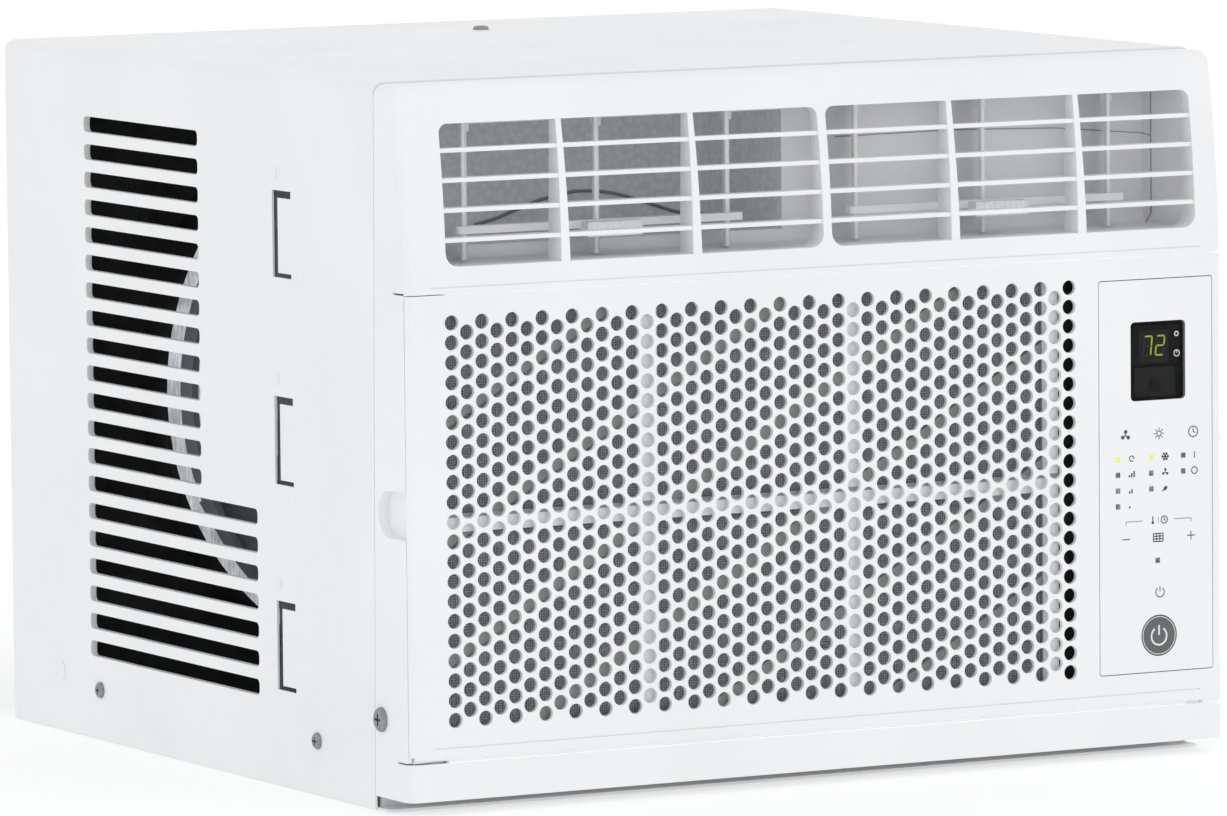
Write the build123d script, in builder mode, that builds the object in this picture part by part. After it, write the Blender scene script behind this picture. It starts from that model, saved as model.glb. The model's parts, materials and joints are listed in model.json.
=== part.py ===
from build123d import *
import math
import os

# Window air conditioner. Millimetres. +Z is up, the room side faces -Y, and the
# origin is on the floor under the middle of the unit.

os.makedirs("parts", exist_ok=True)

# ---------------------------------------------------------------- driving sizes
WIDTH = 398.4
DEPTH = 386.8
SIDE_X = WIDTH / 2
FRONT_Y = -DEPTH / 2
BACK_Y = DEPTH / 2
SHEET = 1.0
WALL = 2.5
PLAY = 0.2

CABINET_TOP = 305.6
CABINET_BOTTOM = 0.4
CABINET_CORNER = 4.5
PAN_SHEET = 1.2

BEZEL_BOTTOM = 6.3
BEZEL_TOP = 304.8
SEAM_TOP_Y = -167.5
SEAM_BOTTOM_Y = -162.2
SEAM_GAP = 0.4
CURVE_START_Z = 214.0
CURVE_RADIUS = 445.0
BROW_RADIUS = 5.5
CORNER_RADIUS = 5.0

DOOR_THICK = 2.1
DOOR_TOP = 217.8
DOOR_BACK_Y = FRONT_Y + DOOR_THICK
SEAT_Y = DOOR_BACK_Y + 0.3
HINGE_Y = -190.6
HINGE_Z = 25.2
BEAD_RADIUS = 2.8
DOOR_RAIL_TOP = HINGE_Z - BEAD_RADIUS - 0.3
DOOR_GAP = 0.4
HINGE_X = 185.0
PIN_RADIUS = 1.1
GROOVE_LENGTH, GROOVE_HEIGHT = 374.0, 0.6

BEZEL_SCREW = (-168.5, 39.1)
SCREW_HOLE_RADIUS = 2.2
SHEET_HOLE_RADIUS = 2.1

HOLE_RADIUS = 3.2
HOLE_PITCH_X = 7.114
HOLE_PITCH_Z = 8.3125
HOLE_FIRST_X = -177.3
HOLE_TOP_Z = 206.1
HOLE_COLUMNS = 43
HOLE_ROWS = 21

PANEL_LEFT, PANEL_RIGHT = 136.5, 193.3
PANEL_BOTTOM, PANEL_TOP = 37.3, 207.7
PANEL_THICK = 2.0
PANEL_BACK_Y = FRONT_Y + PANEL_THICK
BOARD_Y = -184.0

OUTLET_MIDDLE_X = 3.0
OUTLET_WIDTH = 180.5
POST_WIDTH = 4.0
OUTLET_BOTTOM, OUTLET_TOP = 229.3, 288.5
COLLAR_BACK_Y = -182.0
BAR_PITCH = 12.4
BAR_TOP_Z = 277.4
BAR_THICK = 1.8
BARS = 4
CELL_PITCH = 62.9

VANE_Y = -161.0
VANE_REST_DEG = -28.4
VANE_PEG = 11.0
VANE_FRONT = 13.0
VANE_REAR = 10.0
VANE_THICK = 1.8
VANE_PIN_RADIUS = 1.5
PEG_RADIUS = 1.2
LINK_Z = 242.5
LINK_TALL = 3.2

FAN_X = -28.0
FAN_Z = 152.0
SHAFT_RADIUS = 4.0
RUNNING_GAP = 0.06

COMPRESSOR_X, COMPRESSOR_Y = 140.0, 5.0
COMPRESSOR_RADIUS = 48.0

SLOT_COUNT = 20
SHORT_SLOTS = 13
SLOT_TOP_Z = 275.9
SLOT_PITCH = 12.214
SLOT_HEIGHT = 6.93
SLOT_REAR_Y = 112.9
SHORT_SLOT_FRONT_Y = -0.4
LONG_SLOT_FRONT_Y = -54.3
SIDES = (-1, 1)


# ---------------------------------------------------------------- helpers
def across(y):
    """Plane facing the room at depth y: local x is X, local y is Z, normal is -Y."""
    return Plane.XZ.offset(-y)


def save(builder, node_name):
    builder.part.label = node_name
    export_step(builder.part, f"parts/{node_name}.step")


def front_surface_y(z):
    """Depth of the bezel's front surface at height z: flat, then leaning back on an arc."""
    rise = max(0.0, z - CURVE_START_Z)
    return FRONT_Y + CURVE_RADIUS - math.sqrt(CURVE_RADIUS**2 - rise**2)


def bezel_profile(inset, rear_shift=0.0):
    """Side outline of the bezel in the YZ plane, shrunk by inset."""
    top = BEZEL_TOP - inset
    bottom = BEZEL_BOTTOM + inset
    with BuildLine() as outline:
        face = Line((FRONT_Y + inset, bottom), (FRONT_Y + inset, CURVE_START_Z))
        brow = TangentArc(face @ 1, (front_surface_y(top) + inset, top), tangent=face % 1)
        roof = Line(brow @ 1, (SEAM_TOP_Y + rear_shift, top))
        seam = Line(roof @ 1, (SEAM_BOTTOM_Y + rear_shift, bottom))
        Line(seam @ 1, face @ 0)
    make_face(outline.edges())


def outlet_centre(side):
    return OUTLET_MIDDLE_X + side * (OUTLET_WIDTH + POST_WIDTH) / 2


def outlet_middle_z():
    return (OUTLET_TOP + OUTLET_BOTTOM) / 2


def vane_x(index):
    return OUTLET_MIDDLE_X + (index - 2.5) * CELL_PITCH


def hole_centres():
    """Staggered lattice: every second column is half a pitch lower and one hole shorter."""
    centres = []
    for column in range(HOLE_COLUMNS):
        shift = column % 2
        for row in range(HOLE_ROWS - shift):
            x = HOLE_FIRST_X + column * HOLE_PITCH_X
            z = HOLE_TOP_Z - (row + shift / 2) * HOLE_PITCH_Z
            centres.append((x, z))
    return centres


FIELD_SIZE = ((HOLE_COLUMNS - 1) * HOLE_PITCH_X + 12, (HOLE_ROWS - 1) * HOLE_PITCH_Z + 10)
FIELD_MIDDLE = (HOLE_FIRST_X + (HOLE_COLUMNS - 1) * HOLE_PITCH_X / 2,
                HOLE_TOP_Z - (HOLE_ROWS - 1) * HOLE_PITCH_Z / 2)


def perforated_field():
    """Flat rectangle with the whole lattice of round holes in it."""
    border = Wire.make_rect(*FIELD_SIZE, Plane(origin=(*FIELD_MIDDLE, 0)))
    rings = []
    for x, z in hole_centres():
        rings.append(Wire([Edge.make_circle(HOLE_RADIUS, Plane(origin=(x, z, 0)))]))
    return Face(border, rings)


# ---------------------------------------------------------------- front bezel
with BuildPart() as front_bezel:
    with BuildSketch(Plane.YZ.offset(-SIDE_X)):
        bezel_profile(0)
        brow_corner = vertices().group_by(Axis.Y)[-1].sort_by(Axis.X)[0]
        fillet(brow_corner, BROW_RADIUS)
    extrude(amount=WIDTH)
    flanks = front_bezel.faces().group_by(Axis.X)
    for flank in (flanks[0], flanks[-1]):
        rear_and_bottom = flank.edges().sort_by(Axis.Y)[-1:] + flank.edges().sort_by(Axis.Z)[:1]
        fillet([e for e in flank.edges() if e not in rear_and_bottom], CORNER_RADIUS)
    # Hollow from behind
    with BuildSketch(Plane.YZ.offset(-SIDE_X + WALL)):
        bezel_profile(WALL, rear_shift=6)
    extrude(amount=WIDTH - 2 * WALL, mode=Mode.SUBTRACT)
    # Thick collar round both air outlets
    collar_depth = 12.0
    collar_wall = 2.0
    bottom_corner, top_corner = 6.0, 4.0
    with BuildSketch(across(COLLAR_BACK_Y)):
        with Locations((OUTLET_MIDDLE_X, outlet_middle_z())):
            Rectangle(2 * OUTLET_WIDTH + POST_WIDTH + 2 * collar_wall,
                      OUTLET_TOP - OUTLET_BOTTOM + 2 * collar_wall)
    extrude(amount=collar_depth)
    with BuildSketch(Plane.YZ.offset(-SIDE_X)):
        bezel_profile(0)
        brow_corner = vertices().group_by(Axis.Y)[-1].sort_by(Axis.X)[0]
        fillet(brow_corner, BROW_RADIUS)
    extrude(amount=WIDTH, mode=Mode.INTERSECT)
    # Two outlets, with larger radii at the bottom corners
    for side in SIDES:
        with BuildSketch(across(0)):
            with Locations((outlet_centre(side), outlet_middle_z())):
                Rectangle(OUTLET_WIDTH, OUTLET_TOP - OUTLET_BOTTOM)
            fillet(vertices().group_by(Axis.Y)[-1], top_corner)
            fillet(vertices().group_by(Axis.Y)[0], bottom_corner)
        extrude(amount=-FRONT_Y + 5, mode=Mode.SUBTRACT)
    # Recess for the intake door, open to both sides
    recess_height = DOOR_TOP + DOOR_GAP - DOOR_RAIL_TOP
    recess_middle = (0, DOOR_RAIL_TOP + recess_height / 2)
    for recess_back_y, recess_width in ((SEAT_Y, WIDTH + 2), (SEAT_Y + 0.5, WIDTH - 2 * WALL)):
        with BuildSketch(across(recess_back_y)):
            with Locations(recess_middle):
                Rectangle(recess_width, recess_height)
        extrude(amount=DOOR_THICK + 8, mode=Mode.SUBTRACT)
    # Seat behind the door: left band, mullion, right band and head
    seat_depth = 2.5
    seat_bottom, seat_top = 29.0, 222.0
    with BuildSketch(across(SEAT_Y)):
        with Locations((0, (seat_bottom + seat_top) / 2)):
            Rectangle(2 * (SIDE_X - 1), seat_top - seat_bottom)
        for left, right, top in ((-188.0, 130.5, 216.0), (136.0, 193.8, 211.0)):
            with Locations(((left + right) / 2, (seat_bottom - 1 + top) / 2)):
                Rectangle(right - left, top - seat_bottom + 1, mode=Mode.SUBTRACT)
    extrude(amount=-seat_depth)
    # Top of the lower rail, and the snap ears of the door hinge on it
    with BuildSketch(across(FRONT_Y + 1)):
        with Locations((0, DOOR_RAIL_TOP - WALL / 2)):
            Rectangle(WIDTH - 2, WALL)
    extrude(amount=-11)
    for side in SIDES:
        with BuildSketch(Plane.YZ.offset(side * HINGE_X - 3)):
            with BuildLine():
                Polyline((-190.4, 20.5), (-190.4, 24.0), (-191.2, 24.0), (-191.2, 27.6),
                         (-186.2, 27.6), (-186.2, 20.5), close=True)
            make_face()
            with Locations((HINGE_Y, HINGE_Z)):
                Circle(PIN_RADIUS + 0.05, mode=Mode.SUBTRACT)
        extrude(amount=6)
    # Tongues that slip under the sheet cabinet
    tongue_x = SIDE_X - SHEET - PLAY
    tongue_thick = 1.5
    for side in SIDES:
        with Locations((side * (tongue_x - tongue_thick / 2), SEAM_BOTTOM_Y, 156)):
            Box(tongue_thick, 20, 280)
    with Locations((0, SEAM_BOTTOM_Y - 1, CABINET_TOP - SHEET - PLAY - 1.2)):
        Box(WIDTH - 18, 16, 2.0)
    # Slits at the ends of the door gap, and the half-round finger pulls
    slit_length, slit_depth, slit_height = 8.0, 8.2, 0.8
    for side in SIDES:
        for z in (DOOR_RAIL_TOP + slit_height / 2, DOOR_TOP + slit_height):
            with Locations((side * SIDE_X, FRONT_Y + 6.4, z)):
                Box(2 * slit_length, slit_depth, slit_height, mode=Mode.SUBTRACT)
    pull_depth, pull_skin = 4.5, 1.2
    pull_length, pull_height = 34.0, 20.0
    pull_centre = (FRONT_Y + 8.9, 126)
    for side in SIDES:
        with BuildSketch(Plane.YZ.offset(side * (SIDE_X - pull_depth - pull_skin))):
            with Locations(pull_centre):
                SlotOverall(pull_length + 2 * pull_skin, pull_height + 2 * pull_skin)
        extrude(amount=side * (pull_depth + pull_skin - 0.1))
        with BuildSketch(Plane.YZ.offset(side * (SIDE_X - pull_depth))):
            with Locations(pull_centre):
                SlotOverall(pull_length, pull_height)
        extrude(amount=side * 20, mode=Mode.SUBTRACT)
    with BuildSketch(across(SEAT_Y)):
        with Locations((0, pull_centre[1])):
            Rectangle(WIDTH + 20, pull_height + 10)
    extrude(amount=30, mode=Mode.SUBTRACT)
    # Groove above the door, and the two side screw holes
    with Locations((0, FRONT_Y, DOOR_TOP + 3.1)):
        Box(GROOVE_LENGTH, 1.0, GROOVE_HEIGHT, mode=Mode.SUBTRACT)
    with BuildSketch(Plane.YZ):
        with Locations(BEZEL_SCREW):
            Circle(SCREW_HOLE_RADIUS)
    extrude(amount=SIDE_X + 5, both=True, mode=Mode.SUBTRACT)
save(front_bezel, "front_bezel")

# ---------------------------------------------------------------- fixed outlet grille
with BuildPart() as outlet_grille:
    divider_back_y = -181.0
    with BuildSketch(across(divider_back_y)):
        for divider in (-2, -1, 1, 2):
            x = OUTLET_MIDDLE_X + divider * CELL_PITCH
            with BuildLine():
                Polyline((x - 1.25, OUTLET_TOP), (x + 1.25, OUTLET_TOP),
                         (x + 2.1, OUTLET_BOTTOM), (x - 2.1, OUTLET_BOTTOM), close=True)
            make_face()
    extrude(amount=20)
    with BuildSketch(Plane.YZ.offset(-SIDE_X)):
        bezel_profile(0.3)
    extrude(amount=WIDTH, mode=Mode.INTERSECT)
    for side in SIDES:
        for bar in range(BARS):
            z = BAR_TOP_Z - bar * BAR_PITCH
            front_y = front_surface_y(z) + 0.9
            bar_back_y = -183.5
            with Locations((outlet_centre(side), (front_y + bar_back_y) / 2, z)):
                Box(OUTLET_WIDTH, bar_back_y - front_y, BAR_THICK)
save(outlet_grille, "outlet_grille")

# ---------------------------------------------------------------- steering vanes and links
rest = math.radians(VANE_REST_DEG)


def vane_plane(index, z):
    """Plane on the pivot axis of one vane, its local -Y along the vane towards the room."""
    return Plane(origin=(vane_x(index), VANE_Y, z),
                 x_dir=(math.cos(rest), math.sin(rest), 0), z_dir=(0, 0, 1))


for index in range(6):
    with BuildPart() as steering_vane:
        vane_foot, vane_head = 230.0, 287.8
        with BuildSketch(vane_plane(index, vane_foot)):
            with Locations((0, (VANE_REAR - VANE_FRONT) / 2)):
                SlotOverall(VANE_REAR + VANE_FRONT, VANE_THICK, rotation=90)
        extrude(amount=vane_head - vane_foot)
        # Notch for the link bar, with the peg across it
        with BuildSketch(vane_plane(index, LINK_Z - 3)):
            with Locations((0, -9.5)):
                Rectangle(6, 8)
        extrude(amount=6, mode=Mode.SUBTRACT)
        with BuildSketch(vane_plane(index, LINK_Z - 3.5)):
            with Locations((0, -VANE_PEG)):
                Circle(PEG_RADIUS)
        extrude(amount=7)
        # Hub and the two pivot pins
        with BuildSketch(vane_plane(index, 283)):
            Circle(2.6)
        extrude(amount=vane_head - 283)
        pin_bottom, pin_top = 226.5, 291.3
        with BuildSketch(vane_plane(index, pin_bottom)):
            Circle(VANE_PIN_RADIUS)
        extrude(amount=pin_top - pin_bottom)
    save(steering_vane, f"steering_vane_{index + 1}")

link_y = VANE_Y - VANE_PEG * math.cos(rest)
peg_shift_x = VANE_PEG * math.sin(rest)
for side, name in ((0, "left"), (1, "right")):
    first_peg_x = vane_x(3 * side) + peg_shift_x
    last_peg_x = vane_x(3 * side + 2) + peg_shift_x
    with BuildPart() as vane_link:
        with BuildSketch(Plane.XY.offset(LINK_Z - LINK_TALL / 2)):
            with Locations(((first_peg_x - 4 + last_peg_x + 7) / 2, link_y)):
                RectangleRounded(last_peg_x - first_peg_x + 11, 5, 1.5)
        extrude(amount=LINK_TALL)
        # Thumb tab with a serrated front edge
        tab_x = first_peg_x + CELL_PITCH + 4.5
        with Locations((tab_x, link_y - 5.5, 240.6)):
            Box(26, 7, 6.2)
        for tooth in range(10):
            with BuildSketch(Plane.XY.offset(237)):
                with Locations((tab_x - 11.7 + tooth * 2.6, link_y - 9.4)):
                    Circle(0.8)
            extrude(amount=8, mode=Mode.SUBTRACT)
        # Close hole for the driven vane, open ones for the two that follow
        with BuildSketch(Plane.XY.offset(230)):
            with Locations((first_peg_x + CELL_PITCH, link_y)):
                Circle(PEG_RADIUS + RUNNING_GAP)
            with Locations((first_peg_x, link_y), (last_peg_x, link_y)):
                Circle(PEG_RADIUS + 0.3)
        extrude(amount=30, mode=Mode.SUBTRACT)
    save(vane_link, f"vane_link_{name}")

# ---------------------------------------------------------------- intake door and filter
with BuildPart() as intake_grille:
    flat_half = SIDE_X - CORNER_RADIUS
    with BuildSketch(across(FRONT_Y)):
        with Locations((0, (DOOR_TOP + HINGE_Z) / 2)):
            Rectangle(2 * flat_half, DOOR_TOP - HINGE_Z)
        with Locations(((PANEL_LEFT + PANEL_RIGHT) / 2, (PANEL_BOTTOM + PANEL_TOP) / 2)):
            RectangleRounded(PANEL_RIGHT - PANEL_LEFT + 0.8, PANEL_TOP - PANEL_BOTTOM + 0.8, 1.2,
                             mode=Mode.SUBTRACT)
        with Locations(FIELD_MIDDLE):
            Rectangle(*FIELD_SIZE, mode=Mode.SUBTRACT)
    extrude(amount=-DOOR_THICK)
    # Ends that follow the rounded corners of the bezel
    with BuildSketch(Plane.XY.offset(HINGE_Z)):
        with Locations((0, FRONT_Y + 15)):
            RectangleRounded(WIDTH, 30, CORNER_RADIUS)
        with Locations((0, FRONT_Y + DOOR_THICK / 2)):
            Rectangle(WIDTH, DOOR_THICK, mode=Mode.INTERSECT)
            Rectangle(2 * flat_half, DOOR_THICK + 1, mode=Mode.SUBTRACT)
    extrude(amount=DOOR_TOP - HINGE_Z)
    # Rolled lower edge, round the hinge axis
    with BuildSketch(Plane.YZ.offset(-SIDE_X + 3)):
        with Locations((HINGE_Y, HINGE_Z)):
            Circle(BEAD_RADIUS)
    extrude(amount=WIDTH - 6)
    for side in SIDES:
        with Locations((side * HINGE_X, HINGE_Y - 1.8 + 3, HINGE_Z)):
            Box(8, 6, 6.4, mode=Mode.SUBTRACT)
        with BuildSketch(Plane.YZ.offset(side * HINGE_X - 4.5)):
            with Locations((HINGE_Y, HINGE_Z)):
                Circle(PIN_RADIUS)
        extrude(amount=9)
    # Ledge under the filter and two hooks over it
    with Locations((-33, DOOR_BACK_Y + 2.4, 31.4)):
        Box(290, 5, 1.2)
    for x in (-130, 60):
        with Locations((x, DOOR_BACK_Y + 2.6, 214.6)):
            Box(16, 5.4, 1.2)
        with Locations((x, DOOR_BACK_Y + 5.0, 213.7)):
            Box(16, 0.8, 3.0)
    with Locations((0, FRONT_Y, HINGE_Z + 3.2)):
        Box(GROOVE_LENGTH, 0.9, GROOVE_HEIGHT, mode=Mode.SUBTRACT)
    # Perforated field
    with BuildSketch(across(FRONT_Y)):
        add(perforated_field())
    extrude(amount=-DOOR_THICK)
save(intake_grille, "intake_grille")

FILTER_LEFT, FILTER_RIGHT = -183.0, 118.0
FILTER_BOTTOM, FILTER_TOP = 32.2, 213.8
FILTER_FRONT_Y = -189.6
FILTER_THICK = 2.4
FILTER_BORDER = 4.4
FILTER_RIB = 7.8
FILTER_RIB_X = (-82.2, 17.0)
FILTER_CROSSBAR_Z = 122.1
BRACE_ANGLE = 30.0
BRACE_PITCH = 50.3
BRACE_FIRST_Z = 13.8
BRACE_WIDTH = 5.0
with BuildPart() as filter_frame:
    filter_width = FILTER_RIGHT - FILTER_LEFT
    filter_height = FILTER_TOP - FILTER_BOTTOM
    middle = ((FILTER_LEFT + FILTER_RIGHT) / 2, (FILTER_BOTTOM + FILTER_TOP) / 2)
    # Slanting braces, trimmed to the outline
    with BuildSketch(across(FILTER_FRONT_Y + 1)):
        brace_rise = math.tan(math.radians(BRACE_ANGLE)) * (middle[0] - HOLE_FIRST_X)
        for brace in range(-4, 5):
            with Locations((middle[0], BRACE_FIRST_Z + brace * BRACE_PITCH + brace_rise)):
                Rectangle(400, BRACE_WIDTH, rotation=BRACE_ANGLE)
        with Locations(middle):
            Rectangle(filter_width, filter_height, mode=Mode.INTERSECT)
    extrude(amount=-(FILTER_THICK - 1))
    with BuildSketch(across(FILTER_FRONT_Y)):
        with Locations(middle):
            Rectangle(filter_width, filter_height)
            Rectangle(filter_width - 2 * FILTER_BORDER, filter_height - 2 * FILTER_BORDER,
                      mode=Mode.SUBTRACT)
        for x in FILTER_RIB_X + (FILTER_RIGHT - FILTER_RIB / 2,):
            with Locations((x, middle[1])):
                Rectangle(FILTER_RIB, filter_height)
        with Locations((middle[0], FILTER_CROSSBAR_Z)):
            Rectangle(filter_width, FILTER_RIB)
    extrude(amount=-FILTER_THICK)
save(filter_frame, "filter_frame")

with BuildPart() as filter_mesh:
    with BuildSketch(across(FILTER_FRONT_Y + FILTER_THICK)):
        with Locations(middle):
            Rectangle(filter_width - 2, filter_height - 2)
    extrude(amount=-0.5)
save(filter_mesh, "filter_mesh")

# ---------------------------------------------------------------- control panel
KEYS = {
    "key_fan": (149.6, 140.7),
    "key_mode": (166.5, 140.7),
    "key_delay": (183.8, 140.7),
    "key_minus": (149.7, 95.6),
    "key_filter": (166.0, 95.6),
    "key_plus": (182.5, 95.6),
}
POWER_X, POWER_Z = 166.2, 53.0
POWER_RADIUS = 8.7
LED_TOP_Z = 130.6
LED_PITCH = 6.85
LED_COLUMNS = ((145.7, 4), (162.5, 3), (178.7, 2))
FILTER_LED = (165.6, 85.7)
LED_SIZE = 2.3
WINDOW_X, WINDOW_Z = 166.1, 172.4
WINDOW_WIDTH, WINDOW_HEIGHT = 27.6, 34.2


def led_centres():
    centres = [FILTER_LED]
    for x, count in LED_COLUMNS:
        for row in range(count):
            centres.append((x, LED_TOP_Z - row * LED_PITCH))
    return centres


with BuildPart() as control_panel:
    panel_middle = ((PANEL_LEFT + PANEL_RIGHT) / 2, (PANEL_BOTTOM + PANEL_TOP) / 2)
    panel_width = PANEL_RIGHT - PANEL_LEFT
    panel_height = PANEL_TOP - PANEL_BOTTOM
    flange_y = SEAT_Y + seat_depth
    with BuildSketch(across(FRONT_Y)):
        with Locations(panel_middle):
            RectangleRounded(panel_width, panel_height, 1.0)
    extrude(amount=-(flange_y - FRONT_Y + 1.5))
    with BuildSketch(across(flange_y)):
        with Locations(((131.6 + PANEL_RIGHT) / 2, 119.5)):
            Rectangle(PANEL_RIGHT - 131.6, 183)
    extrude(amount=-1.5)
    with BuildSketch(across(PANEL_BACK_Y)):
        with Locations(panel_middle):
            Rectangle(panel_width - 3.2, panel_height - 3.2)
    extrude(amount=-20, mode=Mode.SUBTRACT)
    with BuildSketch(across(PANEL_BACK_Y)):
        with Locations((139.6, 42.5), (190.2, 42.5), (139.6, 202.5), (190.2, 202.5)):
            Circle(1.6)
    extrude(amount=-(BOARD_Y - PANEL_BACK_Y))
    with BuildSketch(across(0)):
        with Locations((WINDOW_X, WINDOW_Z)):
            RectangleRounded(WINDOW_WIDTH, WINDOW_HEIGHT, 2.0)
        with Locations((POWER_X, POWER_Z)):
            Circle(POWER_RADIUS + 0.3)
        with Locations(led_centres()):
            Rectangle(LED_SIZE, LED_SIZE)
    extrude(amount=-FRONT_Y + 5, mode=Mode.SUBTRACT)
    # Thin flexing skin over each key
    with BuildSketch(across(PANEL_BACK_Y)):
        with Locations(list(KEYS.values())):
            Circle(5.6)
    extrude(amount=PANEL_THICK - 0.6, mode=Mode.SUBTRACT)
save(control_panel, "control_panel")

with BuildPart() as display_window:
    with BuildSketch(across(FRONT_Y + 0.15)):
        with Locations((WINDOW_X, WINDOW_Z)):
            RectangleRounded(WINDOW_WIDTH, WINDOW_HEIGHT, 2.0)
    extrude(amount=-1.5)
save(display_window, "display_window")

with BuildPart() as display_module:
    with BuildSketch(across(-191.4)):
        with Locations((WINDOW_X, 179)):
            Rectangle(24, 17)
    extrude(amount=-(BOARD_Y + 191.4))
save(display_module, "display_module")

with BuildPart() as remote_receiver:
    with BuildSketch(across(-190.6)):
        with Locations((WINDOW_X, 161.5)):
            Rectangle(8, 7)
    extrude(amount=-(BOARD_Y + 190.6))
save(remote_receiver, "remote_receiver")

with BuildPart() as led_light_pipes:
    with BuildSketch(across(FRONT_Y)):
        with Locations(led_centres()):
            Rectangle(LED_SIZE, LED_SIZE)
    extrude(amount=-(BOARD_Y - FRONT_Y))
save(led_light_pipes, "led_light_pipes")

with BuildPart() as circuit_board:
    with BuildSketch(across(BOARD_Y)):
        with Locations(panel_middle):
            Rectangle(panel_width - 4.2, panel_height - 4.2)
    extrude(amount=-1.6)
save(circuit_board, "circuit_board")

switch_front_y = -187.6
with BuildPart() as tact_switches:
    with BuildSketch(across(switch_front_y)):
        with Locations(list(KEYS.values()) + [(POWER_X, POWER_Z)]):
            Rectangle(6, 6)
    extrude(amount=-(BOARD_Y - switch_front_y))
    with BuildSketch(across(switch_front_y)):
        with Locations(list(KEYS.values()) + [(POWER_X, POWER_Z)]):
            Circle(1.75)
    extrude(amount=-2.2, mode=Mode.SUBTRACT)
save(tact_switches, "tact_switches")

for key_name, centre in KEYS.items():
    with BuildPart() as key_cap:
        with BuildSketch(across(-192.7)):
            with Locations(centre):
                Circle(5.0)
        extrude(amount=-1.5)
        with BuildSketch(across(-192.0)):
            with Locations(centre):
                Circle(1.6)
        extrude(amount=-5.2)
    save(key_cap, key_name)

with BuildPart() as power_button:
    with BuildSketch(across(FRONT_Y + 0.1)):
        with Locations((POWER_X, POWER_Z)):
            Circle(POWER_RADIUS)
    extrude(amount=-2.4)
    with BuildSketch(across(-192.0)):
        with Locations((POWER_X, POWER_Z)):
            Circle(1.6)
    extrude(amount=-5.0)
save(power_button, "power_button")

with BuildPart() as control_box:
    box_front, box_back = -176.0, -110.0
    with Locations((165, (box_front + box_back) / 2, 118)):
        Box(50, box_back - box_front, 164)
    with Locations((165, (box_front + box_back) / 2 - SHEET, 118)):
        Box(48, box_back - box_front, 162, mode=Mode.SUBTRACT)
save(control_box, "control_box")

with BuildPart() as capacitor:
    with BuildSketch(Plane.XY.offset(40)):
        with Locations((168, -140)):
            Circle(16)
    extrude(amount=62)
    with BuildSketch(Plane.XY.offset(102)):
        with Locations((161, -140), (175, -140)):
            Rectangle(1, 6)
    extrude(amount=8)
save(capacitor, "capacitor")

with BuildPart() as capacitor_clamp:
    with BuildSketch(Plane.XY.offset(66)):
        with Locations((168, -140)):
            Circle(17)
            Circle(16.02, mode=Mode.SUBTRACT)
        with Locations((168, -117.1)):
            Rectangle(1.2, 11.8)
    extrude(amount=12)
save(capacitor_clamp, "capacitor_clamp")

# ---------------------------------------------------------------- air path inside
DUCT_BACK_Y = -146.2
MOUTH_LEFT, MOUTH_RIGHT = -168.0, 5.5
MOUTH_BOTTOM, MOUTH_TOP = 234.0, 285.0
mouth_width = MOUTH_RIGHT - MOUTH_LEFT
mouth_height = MOUTH_TOP - MOUTH_BOTTOM
mouth_middle_x = (MOUTH_LEFT + MOUTH_RIGHT) / 2
mouth_middle_z = (MOUTH_BOTTOM + MOUTH_TOP) / 2
DUCT_WALL = 2.5
DUCT_HALF_WIDTH = 183.0
DUCT_FLOOR, DUCT_ROOF = 229.0, 288.8
DUCT_COVE = 5.0
with BuildPart() as outlet_duct:
    duct_middle_y = (COLLAR_BACK_Y + DUCT_BACK_Y) / 2
    duct_middle_z = (DUCT_FLOOR + DUCT_ROOF) / 2
    duct_length = DUCT_BACK_Y - COLLAR_BACK_Y
    duct_height = DUCT_ROOF - DUCT_FLOOR
    with Locations((OUTLET_MIDDLE_X, duct_middle_y, duct_middle_z)):
        Box(2 * (DUCT_HALF_WIDTH + DUCT_WALL), duct_length, duct_height + 2 * DUCT_WALL)
    with Locations((OUTLET_MIDDLE_X, duct_middle_y - DUCT_WALL, duct_middle_z)):
        Box(2 * DUCT_HALF_WIDTH, duct_length, duct_height, mode=Mode.SUBTRACT)
    # Coved corner between the floor and the back
    with BuildSketch(Plane.YZ.offset(OUTLET_MIDDLE_X - DUCT_HALF_WIDTH)):
        with BuildLine():
            back_y = DUCT_BACK_Y - DUCT_WALL
            rise = Line((back_y, DUCT_FLOOR), (back_y, DUCT_FLOOR + DUCT_COVE))
            cove = RadiusArc(rise @ 1, (back_y - DUCT_COVE, DUCT_FLOOR), DUCT_COVE)
            Line(cove @ 1, rise @ 0)
        make_face()
    extrude(amount=2 * DUCT_HALF_WIDTH)
    with Locations((mouth_middle_x, DUCT_BACK_Y - 4, mouth_middle_z)):
        Box(mouth_width, 16, mouth_height, mode=Mode.SUBTRACT)
    for index in range(6):
        with BuildSketch(Plane.XY.offset(DUCT_FLOOR - 9)):
            with Locations((vane_x(index), VANE_Y)):
                Circle(VANE_PIN_RADIUS + RUNNING_GAP)
        extrude(amount=duct_height + 20, mode=Mode.SUBTRACT)
save(outlet_duct, "outlet_duct")

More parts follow.
